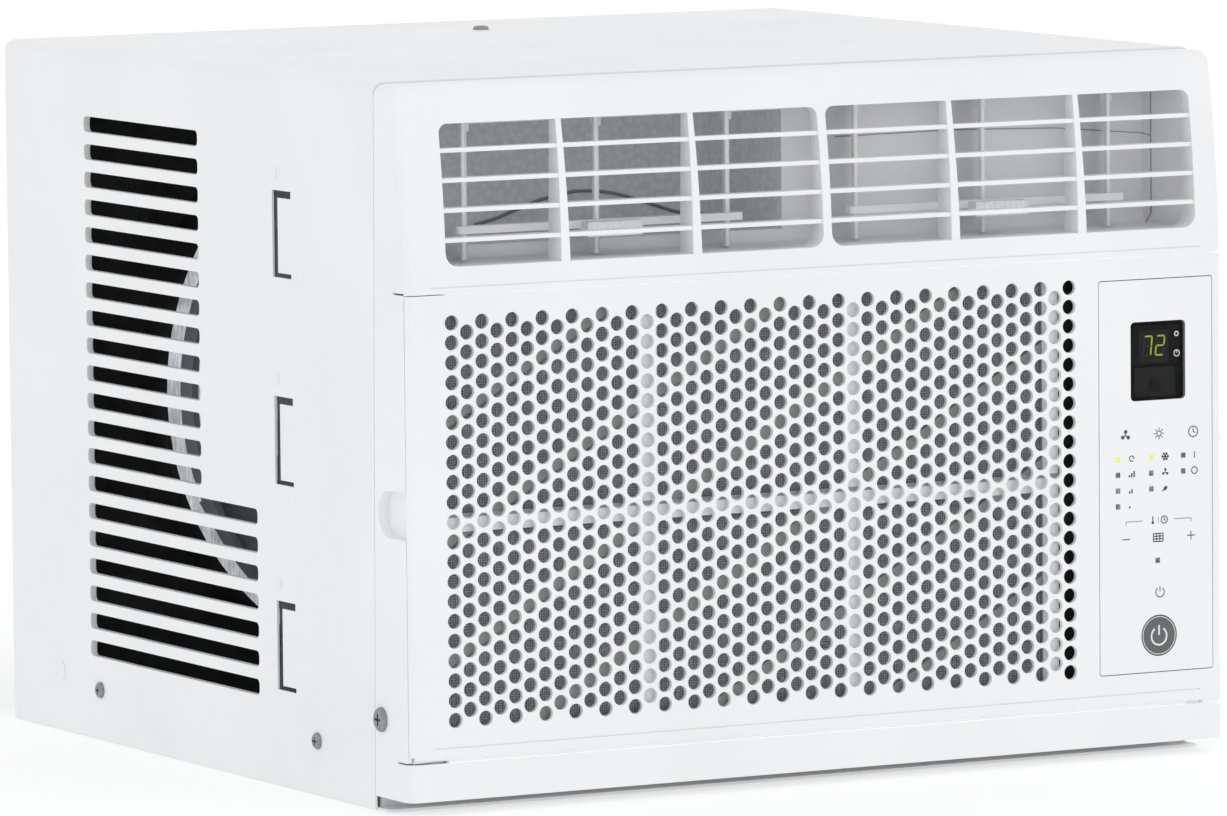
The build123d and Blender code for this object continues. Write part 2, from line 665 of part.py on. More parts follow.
WHEEL_RADIUS = 72.0
BLOWER_BACK_Y, BLOWER_FRONT_Y = -84.0, -136.0
SCROLL_LEFT, SCROLL_RIGHT = -178.0, 72.0
SCROLL_BOTTOM, SCROLL_TOP = 59.0, 291.0
SCROLL_FRONT_Y, SCROLL_BACK_Y = -146.0, -74.0
CHAMBER_RADIUS = WHEEL_RADIUS + 10
CHAMBER_BACK_Y = BLOWER_BACK_Y + 6
CHAMBER_DEPTH = 62.0
with BuildPart() as blower_scroll:
    with Locations(((SCROLL_LEFT + SCROLL_RIGHT) / 2, (SCROLL_FRONT_Y + SCROLL_BACK_Y) / 2,
                    (SCROLL_BOTTOM + SCROLL_TOP) / 2)):
        Box(SCROLL_RIGHT - SCROLL_LEFT, SCROLL_BACK_Y - SCROLL_FRONT_Y, SCROLL_TOP - SCROLL_BOTTOM)
    # Round wheel chamber that opens into the mouth; its right wall is the cut-off
    throat_left = FAN_X - WHEEL_RADIUS - 3
    with BuildSketch(across(CHAMBER_BACK_Y)):
        with Locations((FAN_X, FAN_Z)):
            Circle(CHAMBER_RADIUS)
        with Locations(((throat_left + MOUTH_RIGHT) / 2, (FAN_Z + MOUTH_TOP) / 2)):
            Rectangle(MOUTH_RIGHT - throat_left, MOUTH_TOP - FAN_Z)
        with Locations((mouth_middle_x, mouth_middle_z)):
            Rectangle(mouth_width, mouth_height)
    extrude(amount=CHAMBER_DEPTH, mode=Mode.SUBTRACT)
    # Round inlet for the air from the coil, and the mouth, through the front wall
    with BuildSketch(across(CHAMBER_BACK_Y)):
        with Locations((FAN_X, FAN_Z)):
            Circle(WHEEL_RADIUS - 12)
        with Locations((mouth_middle_x, mouth_middle_z)):
            Rectangle(mouth_width, mouth_height)
    extrude(amount=CHAMBER_DEPTH + 18, mode=Mode.SUBTRACT)
    # Hole for the motor boss, through the back wall
    with BuildSketch(across(SCROLL_BACK_Y + 14)):
        with Locations((FAN_X, FAN_Z)):
            Circle(16)
    extrude(amount=40, mode=Mode.SUBTRACT)
save(blower_scroll, "blower_scroll")

BULKHEAD_Y = -70.0
MOTOR_BOSS_RADIUS = 11.0
with BuildPart() as bulkhead:
    with BuildSketch(across(BULKHEAD_Y)):
        with Locations((0, 152)):
            Rectangle(393, 301)
        with Locations((FAN_X, FAN_Z)):
            Circle(MOTOR_BOSS_RADIUS + 1, mode=Mode.SUBTRACT)
        # Grommet holes for the two refrigerant lines
        with Locations((186, 245), (160, 206)):
            Circle(6, mode=Mode.SUBTRACT)
    extrude(amount=-1)
save(bulkhead, "bulkhead")

WHEEL_BLADES = 36
with BuildPart() as blower_wheel:
    with BuildSketch(across(BLOWER_BACK_Y)):
        with Locations((FAN_X, FAN_Z)):
            Circle(WHEEL_RADIUS)
    extrude(amount=2)
    with BuildSketch(across(BLOWER_BACK_Y)):
        with Locations((FAN_X, FAN_Z)):
            Circle(MOTOR_BOSS_RADIUS)
    extrude(amount=26)
    with BuildSketch(across(BLOWER_FRONT_Y + 3)):
        with Locations((FAN_X, FAN_Z)):
            Circle(WHEEL_RADIUS)
            Circle(WHEEL_RADIUS - 12, mode=Mode.SUBTRACT)
    extrude(amount=3)
    with BuildSketch(across(BLOWER_BACK_Y - 1)):
        with Locations((FAN_X, FAN_Z)):
            with PolarLocations(WHEEL_RADIUS - 6, WHEEL_BLADES):
                Rectangle(11, 1.4, rotation=35)
    extrude(amount=BLOWER_BACK_Y - BLOWER_FRONT_Y - 2)
    with BuildSketch(across(0)):
        with Locations((FAN_X, FAN_Z)):
            Circle(SHAFT_RADIUS)
    extrude(amount=150, mode=Mode.SUBTRACT)
save(blower_wheel, "blower_wheel")

FAN_RADIUS = 128.0
FAN_BACK_Y = 112.0
FAN_BLADES = 5
FAN_RING_Y = FAN_BACK_Y - 4
FAN_RING_DEPTH = 12.0
SHAFT_FRONT_Y = BLOWER_FRONT_Y - 2
with BuildPart() as fan_shaft:
    with BuildSketch(across(FAN_BACK_Y)):
        with Locations((FAN_X, FAN_Z)):
            Circle(SHAFT_RADIUS)
    extrude(amount=FAN_BACK_Y - SHAFT_FRONT_Y)
save(fan_shaft, "fan_shaft")

with BuildPart() as condenser_fan:
    # Slinger ring, hub and twisted blades
    with BuildSketch(across(FAN_RING_Y)):
        with Locations((FAN_X, FAN_Z)):
            Circle(FAN_RADIUS)
            Circle(FAN_RADIUS - 3, mode=Mode.SUBTRACT)
    extrude(amount=FAN_RING_DEPTH)
    with BuildSketch(across(FAN_BACK_Y)):
        with Locations((FAN_X, FAN_Z)):
            Circle(24)
    extrude(amount=26)
    for blade in range(FAN_BLADES):
        turn = math.radians(360 / FAN_BLADES * blade)
        blade_frame = Plane(origin=(FAN_X, FAN_BACK_Y - 12, FAN_Z), x_dir=(0, 1, 0),
                            z_dir=(math.cos(turn), 0, math.sin(turn)))
        with BuildSketch(blade_frame.offset(20)):
            Rectangle(2.4, 28, rotation=48)
        with BuildSketch(blade_frame.offset(FAN_RADIUS - 2)):
            Rectangle(2.0, 62, rotation=20)
        loft()
    # Blade tips trimmed to the ring, and the bore
    with BuildSketch(across(FAN_BACK_Y + 8)):
        with Locations((FAN_X, FAN_Z)):
            Circle(FAN_RADIUS + 72)
            Circle(FAN_RADIUS, mode=Mode.SUBTRACT)
    extrude(amount=60, mode=Mode.SUBTRACT)
    with BuildSketch(across(FAN_BACK_Y + 8)):
        with Locations((FAN_X, FAN_Z)):
            Circle(SHAFT_RADIUS)
    extrude(amount=60, mode=Mode.SUBTRACT)
save(condenser_fan, "condenser_fan")

MOTOR_RADIUS = 45.0
MOTOR_BACK_Y = -4.0
MOTOR_LENGTH = 60.0
with BuildPart() as fan_motor:
    with BuildSketch(across(MOTOR_BACK_Y)):
        with Locations((FAN_X, FAN_Z)):
            Circle(MOTOR_RADIUS)
    extrude(amount=MOTOR_LENGTH)
    fillet(fan_motor.edges().filter_by(GeomType.CIRCLE), 6)
    with BuildSketch(across(MOTOR_BACK_Y + 6)):
        with Locations((FAN_X, FAN_Z)):
            Circle(MOTOR_BOSS_RADIUS)
    extrude(amount=MOTOR_LENGTH + 10)
    with BuildSketch(across(MOTOR_BACK_Y + 14)):
        with Locations((FAN_X, FAN_Z)):
            Circle(SHAFT_RADIUS + RUNNING_GAP)
    extrude(amount=MOTOR_LENGTH + 30, mode=Mode.SUBTRACT)
save(fan_motor, "fan_motor")

BRACKET_Y = -20.0
with BuildPart() as motor_bracket:
    with BuildSketch(across(BRACKET_Y)):
        with Locations((FAN_X, FAN_Z)):
            Circle(MOTOR_RADIUS + 3)
        with Locations((FAN_X, (FAN_Z + PAN_SHEET) / 2)):
            Trapezoid(120, FAN_Z - PAN_SHEET, 70)
        with Locations((FAN_X, FAN_Z)):
            Circle(MOTOR_RADIUS + 0.05, mode=Mode.SUBTRACT)
        with Locations((FAN_X, 50)):
            Rectangle(56, 60, mode=Mode.SUBTRACT)
    extrude(amount=24)
save(motor_bracket, "motor_bracket")

SHROUD_Y = 132.0
SHROUD_RADIUS = FAN_RADIUS + 5
with BuildPart() as fan_shroud:
    with BuildSketch(across(SHROUD_Y + 2)):
        with Locations((-18, 151)):
            Rectangle(346, 296)
        with Locations((FAN_X, FAN_Z)):
            Circle(SHROUD_RADIUS, mode=Mode.SUBTRACT)
    extrude(amount=2)
    with BuildSketch(across(SHROUD_Y + 1)):
        with Locations((FAN_X, FAN_Z)):
            Circle(SHROUD_RADIUS + 3)
            Circle(SHROUD_RADIUS, mode=Mode.SUBTRACT)
    extrude(amount=22)
save(fan_shroud, "fan_shroud")


# ---------------------------------------------------------------- refrigeration circuit
TUBE_RADIUS = 3.5


def bend(x_face, outwards, y_pair, z_pair):
    """Half-round return bend outside an end plate, joining two tubes of the coil."""
    y_middle = sum(y_pair) / 2
    z_middle = sum(z_pair) / 2
    direction = (0, outwards, 0) if y_pair[0] == y_pair[1] else (0, 0, outwards)
    with BuildSketch(Plane.YZ.offset(x_face)) as ring:
        with Locations((y_pair[0], z_pair[0])):
            Circle(TUBE_RADIUS)
    revolve(ring.sketch, axis=Axis((x_face, y_middle, z_middle), direction), revolution_arc=180)


def coil_block(left, right, front, back, bottom, top):
    """Fin pack with a sheet end plate at each end."""
    with Locations(((left + right) / 2, (front + back) / 2, (bottom + top) / 2)):
        Box(right - left, back - front, top - bottom)
    for x in (left - 0.6, right + 0.6):
        with Locations((x, (front + back) / 2, (bottom + top) / 2)):
            Box(1.2, back - front + 4, top - bottom + 2)


def coil_bends(left, right, columns, first_z, pitch, rows):
    """Return bends of a coil whose first and last tubes leave on the right."""
    for y in columns:
        for row in range(0, rows - 1, 2):
            z = first_z + row * pitch
            bend(left - 1.2, 1, (y, y), (z, z + pitch))
        for row in range(1, rows - 1, 2):
            z = first_z + row * pitch
            bend(right + 1.2, -1, (y, y), (z, z + pitch))
    bend(right + 1.2, 1, (columns[0], columns[1]), (first_z, first_z))


EVAPORATOR = dict(left=-174.0, right=122.0)
EVAPORATOR_TUBES = dict(columns=(-170.0, -158.0), first_z=38.0, pitch=24.0, rows=8)
with BuildPart() as evaporator_coil:
    coil_block(**EVAPORATOR, front=-176, back=-152, bottom=26, top=219)
save(evaporator_coil, "evaporator_coil")
with BuildPart() as evaporator_bends:
    coil_bends(**EVAPORATOR, **EVAPORATOR_TUBES)
save(evaporator_bends, "evaporator_bends")

CONDENSER = dict(left=-176.0, right=148.0)
CONDENSER_TUBES = dict(columns=(158.0, 176.0), first_z=30.0, pitch=22.0, rows=12)
with BuildPart() as condenser_coil:
    coil_block(**CONDENSER, front=149, back=185, bottom=8, top=298)
save(condenser_coil, "condenser_coil")
with BuildPart() as condenser_bends:
    coil_bends(**CONDENSER, **CONDENSER_TUBES)
save(condenser_bends, "condenser_bends")

with BuildPart() as drip_tray:
    with Locations((-29, -164, 17.5)):
        Box(318, 32, 15)
    with Locations((-29, -164, 20)):
        Box(312, 26, 12, mode=Mode.SUBTRACT)
    with Locations((-120, -164, 19.9), (60, -164, 19.9)):
        Box(10, 26, 12.2)
save(drip_tray, "drip_tray")

COMPRESSOR_TOP = 205.0
FOOT_BOTTOM, FOOT_TOP = 14.0, 18.0
FOOT_CIRCLE = 60.0


def compressor_feet():
    """The three foot positions round the compressor."""
    return PolarLocations(FOOT_CIRCLE, 3, start_angle=60)


with BuildPart() as compressor:
    with BuildSketch(Plane.XY.offset(FOOT_TOP)):
        with Locations((COMPRESSOR_X, COMPRESSOR_Y)):
            Circle(COMPRESSOR_RADIUS)
    extrude(amount=COMPRESSOR_TOP - FOOT_TOP)
    fillet(compressor.edges().filter_by(GeomType.CIRCLE).sort_by(Axis.Z)[-1], 18)
    # Weld bead where the cap meets the shell
    with BuildSketch(Plane.XY.offset(COMPRESSOR_TOP - 37)):
        with Locations((COMPRESSOR_X, COMPRESSOR_Y)):
            Circle(COMPRESSOR_RADIUS + 2)
    extrude(amount=5)
    with BuildSketch(Plane.XY.offset(FOOT_BOTTOM)):
        with Locations((COMPRESSOR_X, COMPRESSOR_Y)):
            Circle(COMPRESSOR_RADIUS + 6)
            with compressor_feet():
                Circle(9)
        with Locations((COMPRESSOR_X, COMPRESSOR_Y)):
            with compressor_feet():
                Circle(3.4, mode=Mode.SUBTRACT)
    extrude(amount=FOOT_TOP - FOOT_BOTTOM)
save(compressor, "compressor")

STUD_RADIUS = 3.0
with BuildPart() as compressor_grommets:
    with BuildSketch(Plane.XY.offset(PAN_SHEET)):
        with Locations((COMPRESSOR_X, COMPRESSOR_Y)):
            with compressor_feet():
                Circle(8)
                Circle(STUD_RADIUS + 0.1, mode=Mode.SUBTRACT)
    extrude(amount=FOOT_BOTTOM - PAN_SHEET)
save(compressor_grommets, "compressor_grommets")

with BuildPart() as compressor_nuts:
    with BuildSketch(Plane.XY.offset(PAN_SHEET)):
        with Locations((COMPRESSOR_X, COMPRESSOR_Y)):
            with compressor_feet():
                Circle(STUD_RADIUS)
    extrude(amount=25)
    with BuildSketch(Plane.XY.offset(FOOT_TOP)):
        with Locations((COMPRESSOR_X, COMPRESSOR_Y)):
            with compressor_feet():
                RegularPolygon(5.5, 6)
    extrude(amount=5)
save(compressor_nuts, "compressor_nuts")

with BuildPart() as terminal_cover:
    with Locations((COMPRESSOR_X, COMPRESSOR_Y - 18, COMPRESSOR_TOP + 6)):
        Box(26, 16, 12)
    fillet(terminal_cover.edges().filter_by(Axis.Z), 3)
save(terminal_cover, "terminal_cover")


def pipe(points, pipe_radius, corner_radius):
    """Round tube through the points, with equal bends."""
    with BuildLine():
        route = FilletPolyline(*points, radius=corner_radius)
    start = Plane(origin=route @ 0, z_dir=route % 0)
    with BuildSketch(start) as section:
        Circle(pipe_radius)
    sweep(section.sketch, path=route)


ACCUMULATOR_X, ACCUMULATOR_Y = 78.0, 52.0
ACCUMULATOR_BOTTOM, ACCUMULATOR_TOP = 60.0, 180.0
RETURN_Z = 42.0
with BuildPart() as accumulator:
    with BuildSketch(Plane.XY.offset(ACCUMULATOR_BOTTOM)):
        with Locations((ACCUMULATOR_X, ACCUMULATOR_Y)):
            Circle(19)
    extrude(amount=ACCUMULATOR_TOP - ACCUMULATOR_BOTTOM)
    fillet(accumulator.edges().filter_by(GeomType.CIRCLE), 8)
    # Outlet tube to the side of the compressor
    toward_x = COMPRESSOR_X - ACCUMULATOR_X
    toward_y = COMPRESSOR_Y - ACCUMULATOR_Y
    reach = 1 - (COMPRESSOR_RADIUS + 1.5) / math.hypot(toward_x, toward_y)
    tube_end = (ACCUMULATOR_X + toward_x * reach, ACCUMULATOR_Y + toward_y * reach, RETURN_Z)
    pipe([(ACCUMULATOR_X, ACCUMULATOR_Y, ACCUMULATOR_BOTTOM + 1),
          (ACCUMULATOR_X, ACCUMULATOR_Y, RETURN_Z), tube_end], 4, 8)
save(accumulator, "accumulator")

SUCTION_Z = 206.0
SUCTION_X = 160.0
COIL_PORT_X = 123.2
with BuildPart() as suction_pipe:
    pipe([(COIL_PORT_X, -170, SUCTION_Z), (SUCTION_X, -170, SUCTION_Z), (SUCTION_X, -56, SUCTION_Z),
          (ACCUMULATOR_X, -56, SUCTION_Z), (ACCUMULATOR_X, ACCUMULATOR_Y, SUCTION_Z),
          (ACCUMULATOR_X, ACCUMULATOR_Y, ACCUMULATOR_TOP)], 4, 10)
save(suction_pipe, "suction_pipe")

CONDENSER_PORT_X = 149.2
DISCHARGE_X, DISCHARGE_Z = 172.0, 272.0
with BuildPart() as discharge_pipe:
    pipe([(CONDENSER_PORT_X, 158, DISCHARGE_Z), (DISCHARGE_X, 158, DISCHARGE_Z),
          (DISCHARGE_X, COMPRESSOR_Y, DISCHARGE_Z), (COMPRESSOR_X, COMPRESSOR_Y, DISCHARGE_Z),
          (COMPRESSOR_X, COMPRESSOR_Y, COMPRESSOR_TOP)], 3.5, 10)
save(discharge_pipe, "discharge_pipe")

DRIER_X, DRIER_Z = 186.0, 245.0
DRIER_BACK_Y, DRIER_FRONT_Y = 130.0, 60.0
with BuildPart() as liquid_pipe:
    pipe([(CONDENSER_PORT_X, 176, DISCHARGE_Z), (DRIER_X, 176, DISCHARGE_Z),
          (DRIER_X, 176, DRIER_Z), (DRIER_X, DRIER_BACK_Y, DRIER_Z)], 3.5, 10)
save(liquid_pipe, "liquid_pipe")

with BuildPart() as filter_drier:
    with BuildSketch(across(DRIER_BACK_Y)):
        with Locations((DRIER_X, DRIER_Z)):
            Circle(8)
    extrude(amount=DRIER_BACK_Y - DRIER_FRONT_Y)
    fillet(filter_drier.edges().filter_by(GeomType.CIRCLE), 4)
save(filter_drier, "filter_drier")

CAPILLARY_X, CAPILLARY_Y = 145.0, -95.0
with BuildPart() as capillary_tube:
    pipe([(DRIER_X, DRIER_FRONT_Y, DRIER_Z), (DRIER_X, CAPILLARY_Y, DRIER_Z),
          (CAPILLARY_X, CAPILLARY_Y, DRIER_Z), (CAPILLARY_X, CAPILLARY_Y, SUCTION_Z),
          (CAPILLARY_X, -158, SUCTION_Z), (COIL_PORT_X, -158, SUCTION_Z)], 1.4, 8)
save(capillary_tube, "capillary_tube")

with BuildPart() as room_thermistor:
    with BuildSketch(across(-176)):
        with Locations((60, 180)):
            RectangleRounded(10, 6, 2)
    extrude(amount=3)
save(room_thermistor, "room_thermistor")

# ---------------------------------------------------------------- base pan and cabinet
PAN_SIDE_X = SIDE_X - SHEET - PLAY
PAN_REAR_Y = BACK_Y - SHEET - PLAY
PAN_FRONT_Y = -172.0
CABINET_SCREWS = ((103.4, 22.4), (-108.9, 23.4))
DRAIN = (-150.0, 120.0)
with BuildPart() as base_pan:
    with Locations((0, (PAN_REAR_Y + PAN_FRONT_Y) / 2, PAN_SHEET / 2)):
        Box(2 * PAN_SIDE_X, PAN_REAR_Y - PAN_FRONT_Y, PAN_SHEET)
    flange_front_y = -150.0
    for side in SIDES:
        with Locations((side * (PAN_SIDE_X - PAN_SHEET / 2), (PAN_REAR_Y + flange_front_y) / 2, 17)):
            Box(PAN_SHEET, PAN_REAR_Y - flange_front_y, 34)
    with Locations((0, PAN_REAR_Y - PAN_SHEET / 2, 13)):
        Box(2 * PAN_SIDE_X, PAN_SHEET, 26)
    with Locations((0, -160, 4)):
        Box(2 * PAN_SIDE_X - 4, PAN_SHEET, 8)
    with BuildSketch(Plane.YZ):
        with Locations(CABINET_SCREWS):
            Circle(SHEET_HOLE_RADIUS)
    extrude(amount=SIDE_X + 5, both=True, mode=Mode.SUBTRACT)
    with BuildSketch(Plane.XY):
        with Locations(DRAIN):
            Circle(6)
    extrude(amount=PAN_SHEET, mode=Mode.SUBTRACT)
save(base_pan, "base_pan")

with BuildPart() as drain_plug:
    with BuildSketch(Plane.XY.offset(0.3)):
        with Locations(DRAIN):
            Circle(5.9)
    extrude(amount=4)
    with BuildSketch(Plane.XY.offset(PAN_SHEET + 0.05)):
        with Locations(DRAIN):
            Circle(9)
    extrude(amount=2)
save(drain_plug, "drain_plug")


def slot_span(row):
    """Front end of one louvre slot: the upper ones are short, the lower ones long."""
    return SHORT_SLOT_FRONT_Y if row < SHORT_SLOTS else LONG_SLOT_FRONT_Y


def draw_slots(grow, mode=Mode.ADD):
    for row in range(SLOT_COUNT):
        front = slot_span(row)
        z = SLOT_TOP_Z - SLOT_HEIGHT / 2 - row * SLOT_PITCH
        with Locations(((front + SLOT_REAR_Y) / 2, z)):
            RectangleRounded(SLOT_REAR_Y - front + 2 * grow, SLOT_HEIGHT + 2 * grow, 2.4 + grow,
                             mode=mode)


CURTAIN_TABS = ((217.9, 255.0), (129.5, 167.2), (41.5, 79.7))
TAB_SLIT_Y = (-77.0, -71.8)
TAB_LEG_FRONT_Y = -89.3
TAB_UPPER_LEG, TAB_LOWER_LEG = 3.2, 2.0
CABINET_FRONT_Y = SEAM_TOP_Y + SEAM_GAP
TOP_SCREW = (7.0, 128.6)
with BuildPart() as outer_cabinet:
    inner_x = SIDE_X - SHEET
    inner_top = CABINET_TOP - SHEET
    with BuildSketch(across(CABINET_FRONT_Y)):
        with Locations((0, (CABINET_TOP + CABINET_BOTTOM) / 2)):
            Rectangle(WIDTH, CABINET_TOP - CABINET_BOTTOM)
        fillet(vertices().group_by(Axis.Y)[-1], CABINET_CORNER)
    extrude(amount=-(BACK_Y - CABINET_FRONT_Y))
    with BuildSketch(across(CABINET_FRONT_Y)):
        with Locations((0, inner_top / 2 - 5)):
            Rectangle(2 * inner_x, inner_top + 10)
        fillet(vertices().group_by(Axis.Y)[-1], CABINET_CORNER - SHEET)
    extrude(amount=-(BACK_Y - SHEET - CABINET_FRONT_Y), mode=Mode.SUBTRACT)
    # Return flange round the open back, notched for the pan's rear flange
    flange = 9.0
    with BuildSketch(across(BACK_Y + 1)):
        with Locations((0, (inner_top - flange) / 2)):
            Rectangle(2 * (inner_x - flange), inner_top - flange)
        Rectangle(2 * inner_x, 54)
    extrude(amount=5, mode=Mode.SUBTRACT)
    # Slanted front edge along the bezel seam
    with BuildSketch(Plane.YZ):
        with BuildLine():
            Polyline((SEAM_TOP_Y + SEAM_GAP, BEZEL_TOP), (SEAM_BOTTOM_Y + SEAM_GAP, BEZEL_BOTTOM),
                     (SEAM_BOTTOM_Y + SEAM_GAP, -5), (-180, -5), (-180, BEZEL_TOP), close=True)
        make_face()
    extrude(amount=SIDE_X + 5, both=True, mode=Mode.SUBTRACT)
    # Louvre slots with inward lips, curtain tabs and screw holes, on both sides
    for side in SIDES:
        with BuildSketch(Plane.YZ.offset(side * inner_x)):
            draw_slots(0.8)
        extrude(amount=-side * 2.0)
    with BuildSketch(Plane.YZ):
        draw_slots(0.0)
        for low, high in CURTAIN_TABS:
            with Locations((sum(TAB_SLIT_Y) / 2, (low + high) / 2)):
                Rectangle(TAB_SLIT_Y[1] - TAB_SLIT_Y[0], high - low)
            leg_length = TAB_SLIT_Y[1] - TAB_LEG_FRONT_Y
            with Locations((TAB_SLIT_Y[1] - leg_length / 2, low + TAB_LOWER_LEG / 2)):
                Rectangle(leg_length, TAB_LOWER_LEG)
            with Locations((TAB_SLIT_Y[1] - leg_length / 2, high - TAB_UPPER_LEG / 2)):
                Rectangle(leg_length, TAB_UPPER_LEG)
        with Locations(CABINET_SCREWS):
            Circle(SHEET_HOLE_RADIUS)
    extrude(amount=SIDE_X + 5, both=True, mode=Mode.SUBTRACT)
    with BuildSketch(Plane.XY.offset(CABINET_TOP - 5)):
        with Locations(TOP_SCREW):
            Circle(SHEET_HOLE_RADIUS)
    extrude(amount=10, mode=Mode.SUBTRACT)
    # Pressed pips above the tabs
    for side in SIDES:
        with BuildSketch(Plane.YZ.offset(side * SIDE_X)):
            for low, high in CURTAIN_TABS:
                with Locations((-74.4, high + 7)):
                    Circle(2.4)
            with Locations((144, 27)):
                Circle(4.5)
        extrude(amount=side * 0.5)
save(outer_cabinet, "outer_cabinet")


def screw(radius, head_radius, head_height, length):
    """Pan head screw along the local Z axis, head outside, with a cross recess."""
    with BuildPart(mode=Mode.PRIVATE) as one_screw:
        with BuildSketch(Plane.XY):
            Circle(head_radius)
        extrude(amount=head_height)
        fillet(one_screw.edges().group_by(Axis.Z)[-1], head_height * 0.8)
        with BuildSketch(Plane.XY):
            Circle(radius)
        extrude(amount=-length)
        with BuildSketch(Plane.XY.offset(head_height)):
            Rectangle(head_radius, head_radius * 0.2)
            Rectangle(head_radius * 0.2, head_radius)
        extrude(amount=-head_height * 0.6, mode=Mode.SUBTRACT)
    return one_screw.part


side_screw = screw(2.0, 3.6, 1.7, 8)
front_screw = screw(2.0, 5.2, 2.0, 8)
with BuildPart() as cabinet_screws:
    for side in SIDES:
        for y, z in CABINET_SCREWS:
            add(Plane(origin=(side * SIDE_X, y, z), z_dir=(side, 0, 0)) * side_screw)
    add(Pos(TOP_SCREW[0], TOP_SCREW[1], CABINET_TOP) * side_screw)
save(cabinet_screws, "cabinet_screws")

with BuildPart() as bezel_screws:
    for side in SIDES:
        add(Plane(origin=(side * SIDE_X, *BEZEL_SCREW), z_dir=(side, 0, 0)) * front_screw)
save(bezel_screws, "bezel_screws")
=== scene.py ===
import json
import math

import bmesh
import bpy
from mathutils import Matrix, Vector


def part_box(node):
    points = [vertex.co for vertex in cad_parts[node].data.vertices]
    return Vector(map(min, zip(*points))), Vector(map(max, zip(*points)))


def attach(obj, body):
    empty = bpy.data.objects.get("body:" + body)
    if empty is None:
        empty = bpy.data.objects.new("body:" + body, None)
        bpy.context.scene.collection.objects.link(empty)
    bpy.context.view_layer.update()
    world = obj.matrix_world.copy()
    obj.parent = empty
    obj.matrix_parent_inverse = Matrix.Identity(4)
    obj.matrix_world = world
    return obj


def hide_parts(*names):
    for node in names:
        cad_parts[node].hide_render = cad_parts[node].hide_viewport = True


# A window air conditioner: looks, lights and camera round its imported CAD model. Metres.

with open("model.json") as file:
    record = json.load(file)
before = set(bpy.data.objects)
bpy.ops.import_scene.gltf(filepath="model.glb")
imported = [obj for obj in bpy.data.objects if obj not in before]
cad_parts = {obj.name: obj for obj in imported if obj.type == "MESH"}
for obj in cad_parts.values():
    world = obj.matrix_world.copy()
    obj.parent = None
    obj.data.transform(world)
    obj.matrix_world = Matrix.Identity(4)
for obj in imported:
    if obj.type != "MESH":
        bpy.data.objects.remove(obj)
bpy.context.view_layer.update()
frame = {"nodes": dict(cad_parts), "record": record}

MM = 0.001
PRINT_HEIGHT = 0.03 * MM
STROKE = 0.46 * MM


# ---------------------------------------------------------------- material nodes
def new_material(name, colour, roughness, metallic=0.0):
    """A Principled material with its plain settings made; returns it, its tree and its shader."""
    material = bpy.data.materials.new(name)
    material.use_nodes = True
    tree = material.node_tree
    shader = tree.nodes["Principled BSDF"]
    shader.inputs["Base Color"].default_value = (*colour, 1.0)
    shader.inputs["Roughness"].default_value = roughness
    shader.inputs["Metallic"].default_value = metallic
    return material, tree, shader


def object_space(tree, stretch):
    """The object's own coordinates in metres, scaled along each axis."""
    place = tree.nodes.new("ShaderNodeTexCoord")
    mapping = tree.nodes.new("ShaderNodeMapping")
    mapping.inputs["Scale"].default_value = stretch
    tree.links.new(place.outputs["Object"], mapping.inputs["Vector"])
    return mapping.outputs["Vector"]


def noise(tree, scale, detail=3.0, stretch=(1, 1, 1)):
    """Cloudy value with scale features a metre."""
    node = tree.nodes.new("ShaderNodeTexNoise")
    node.inputs["Scale"].default_value = scale
    node.inputs["Detail"].default_value = detail
    tree.links.new(object_space(tree, stretch), node.inputs["Vector"])
    return node.outputs["Fac"]


def cells(tree, scale, output="Distance", metric="EUCLIDEAN"):
    """Cell pattern with scale cells a metre: distance to the centre, or one random colour each."""
    node = tree.nodes.new("ShaderNodeTexVoronoi")
    node.distance = metric
    node.inputs["Scale"].default_value = scale
    tree.links.new(object_space(tree, (1, 1, 1)), node.inputs["Vector"])
    return node.outputs[output]


def vary_colour(tree, shader, value, dark, light, start=0.3, end=0.7):
    """Base colour runs from dark to light as value goes from start to end."""
    ramp = tree.nodes.new("ShaderNodeValToRGB")
    ramp.color_ramp.elements[0].position = start
    ramp.color_ramp.elements[0].color = (*dark, 1.0)
    ramp.color_ramp.elements[1].position = end
    ramp.color_ramp.elements[1].color = (*light, 1.0)
    tree.links.new(value, ramp.inputs["Fac"])
    tree.links.new(ramp.outputs["Color"], shader.inputs["Base Color"])


def vary_roughness(tree, shader, value, low, high):
    """Roughness runs from low to high over the middle of the value's range."""
    span = tree.nodes.new("ShaderNodeMapRange")
    span.inputs["From Min"].default_value = 0.3
    span.inputs["From Max"].default_value = 0.7
    span.inputs["To Min"].default_value = low
    span.inputs["To Max"].default_value = high
    tree.links.new(value, span.inputs["Value"])
    tree.links.new(span.outputs["Result"], shader.inputs["Roughness"])


def relief(tree, shader, value, depth, strength=1.0):
    """Bump of that depth in metres; a second call adds finer relief on top."""
    bump = tree.nodes.new("ShaderNodeBump")
    bump.inputs["Distance"].default_value = depth
    bump.inputs["Strength"].default_value = strength
    tree.links.new(value, bump.inputs["Height"])
    earlier = shader.inputs["Normal"].links
    if earlier:
        tree.links.new(earlier[0].from_socket, bump.inputs["Normal"])
    tree.links.new(bump.outputs["Normal"], shader.inputs["Normal"])


def near_plane(tree, axis, place, reach):
    """1 within reach of a plane across the axis, 0 elsewhere."""
    split = tree.nodes.new("ShaderNodeSeparateXYZ")
    tree.links.new(object_space(tree, (1, 1, 1)), split.inputs["Vector"])
    compare = tree.nodes.new("ShaderNodeMath")
    compare.operation = "COMPARE"
    compare.inputs[1].default_value = place
    compare.inputs[2].default_value = reach
    tree.links.new(split.outputs[axis], compare.inputs[0])
    return compare.outputs["Value"]


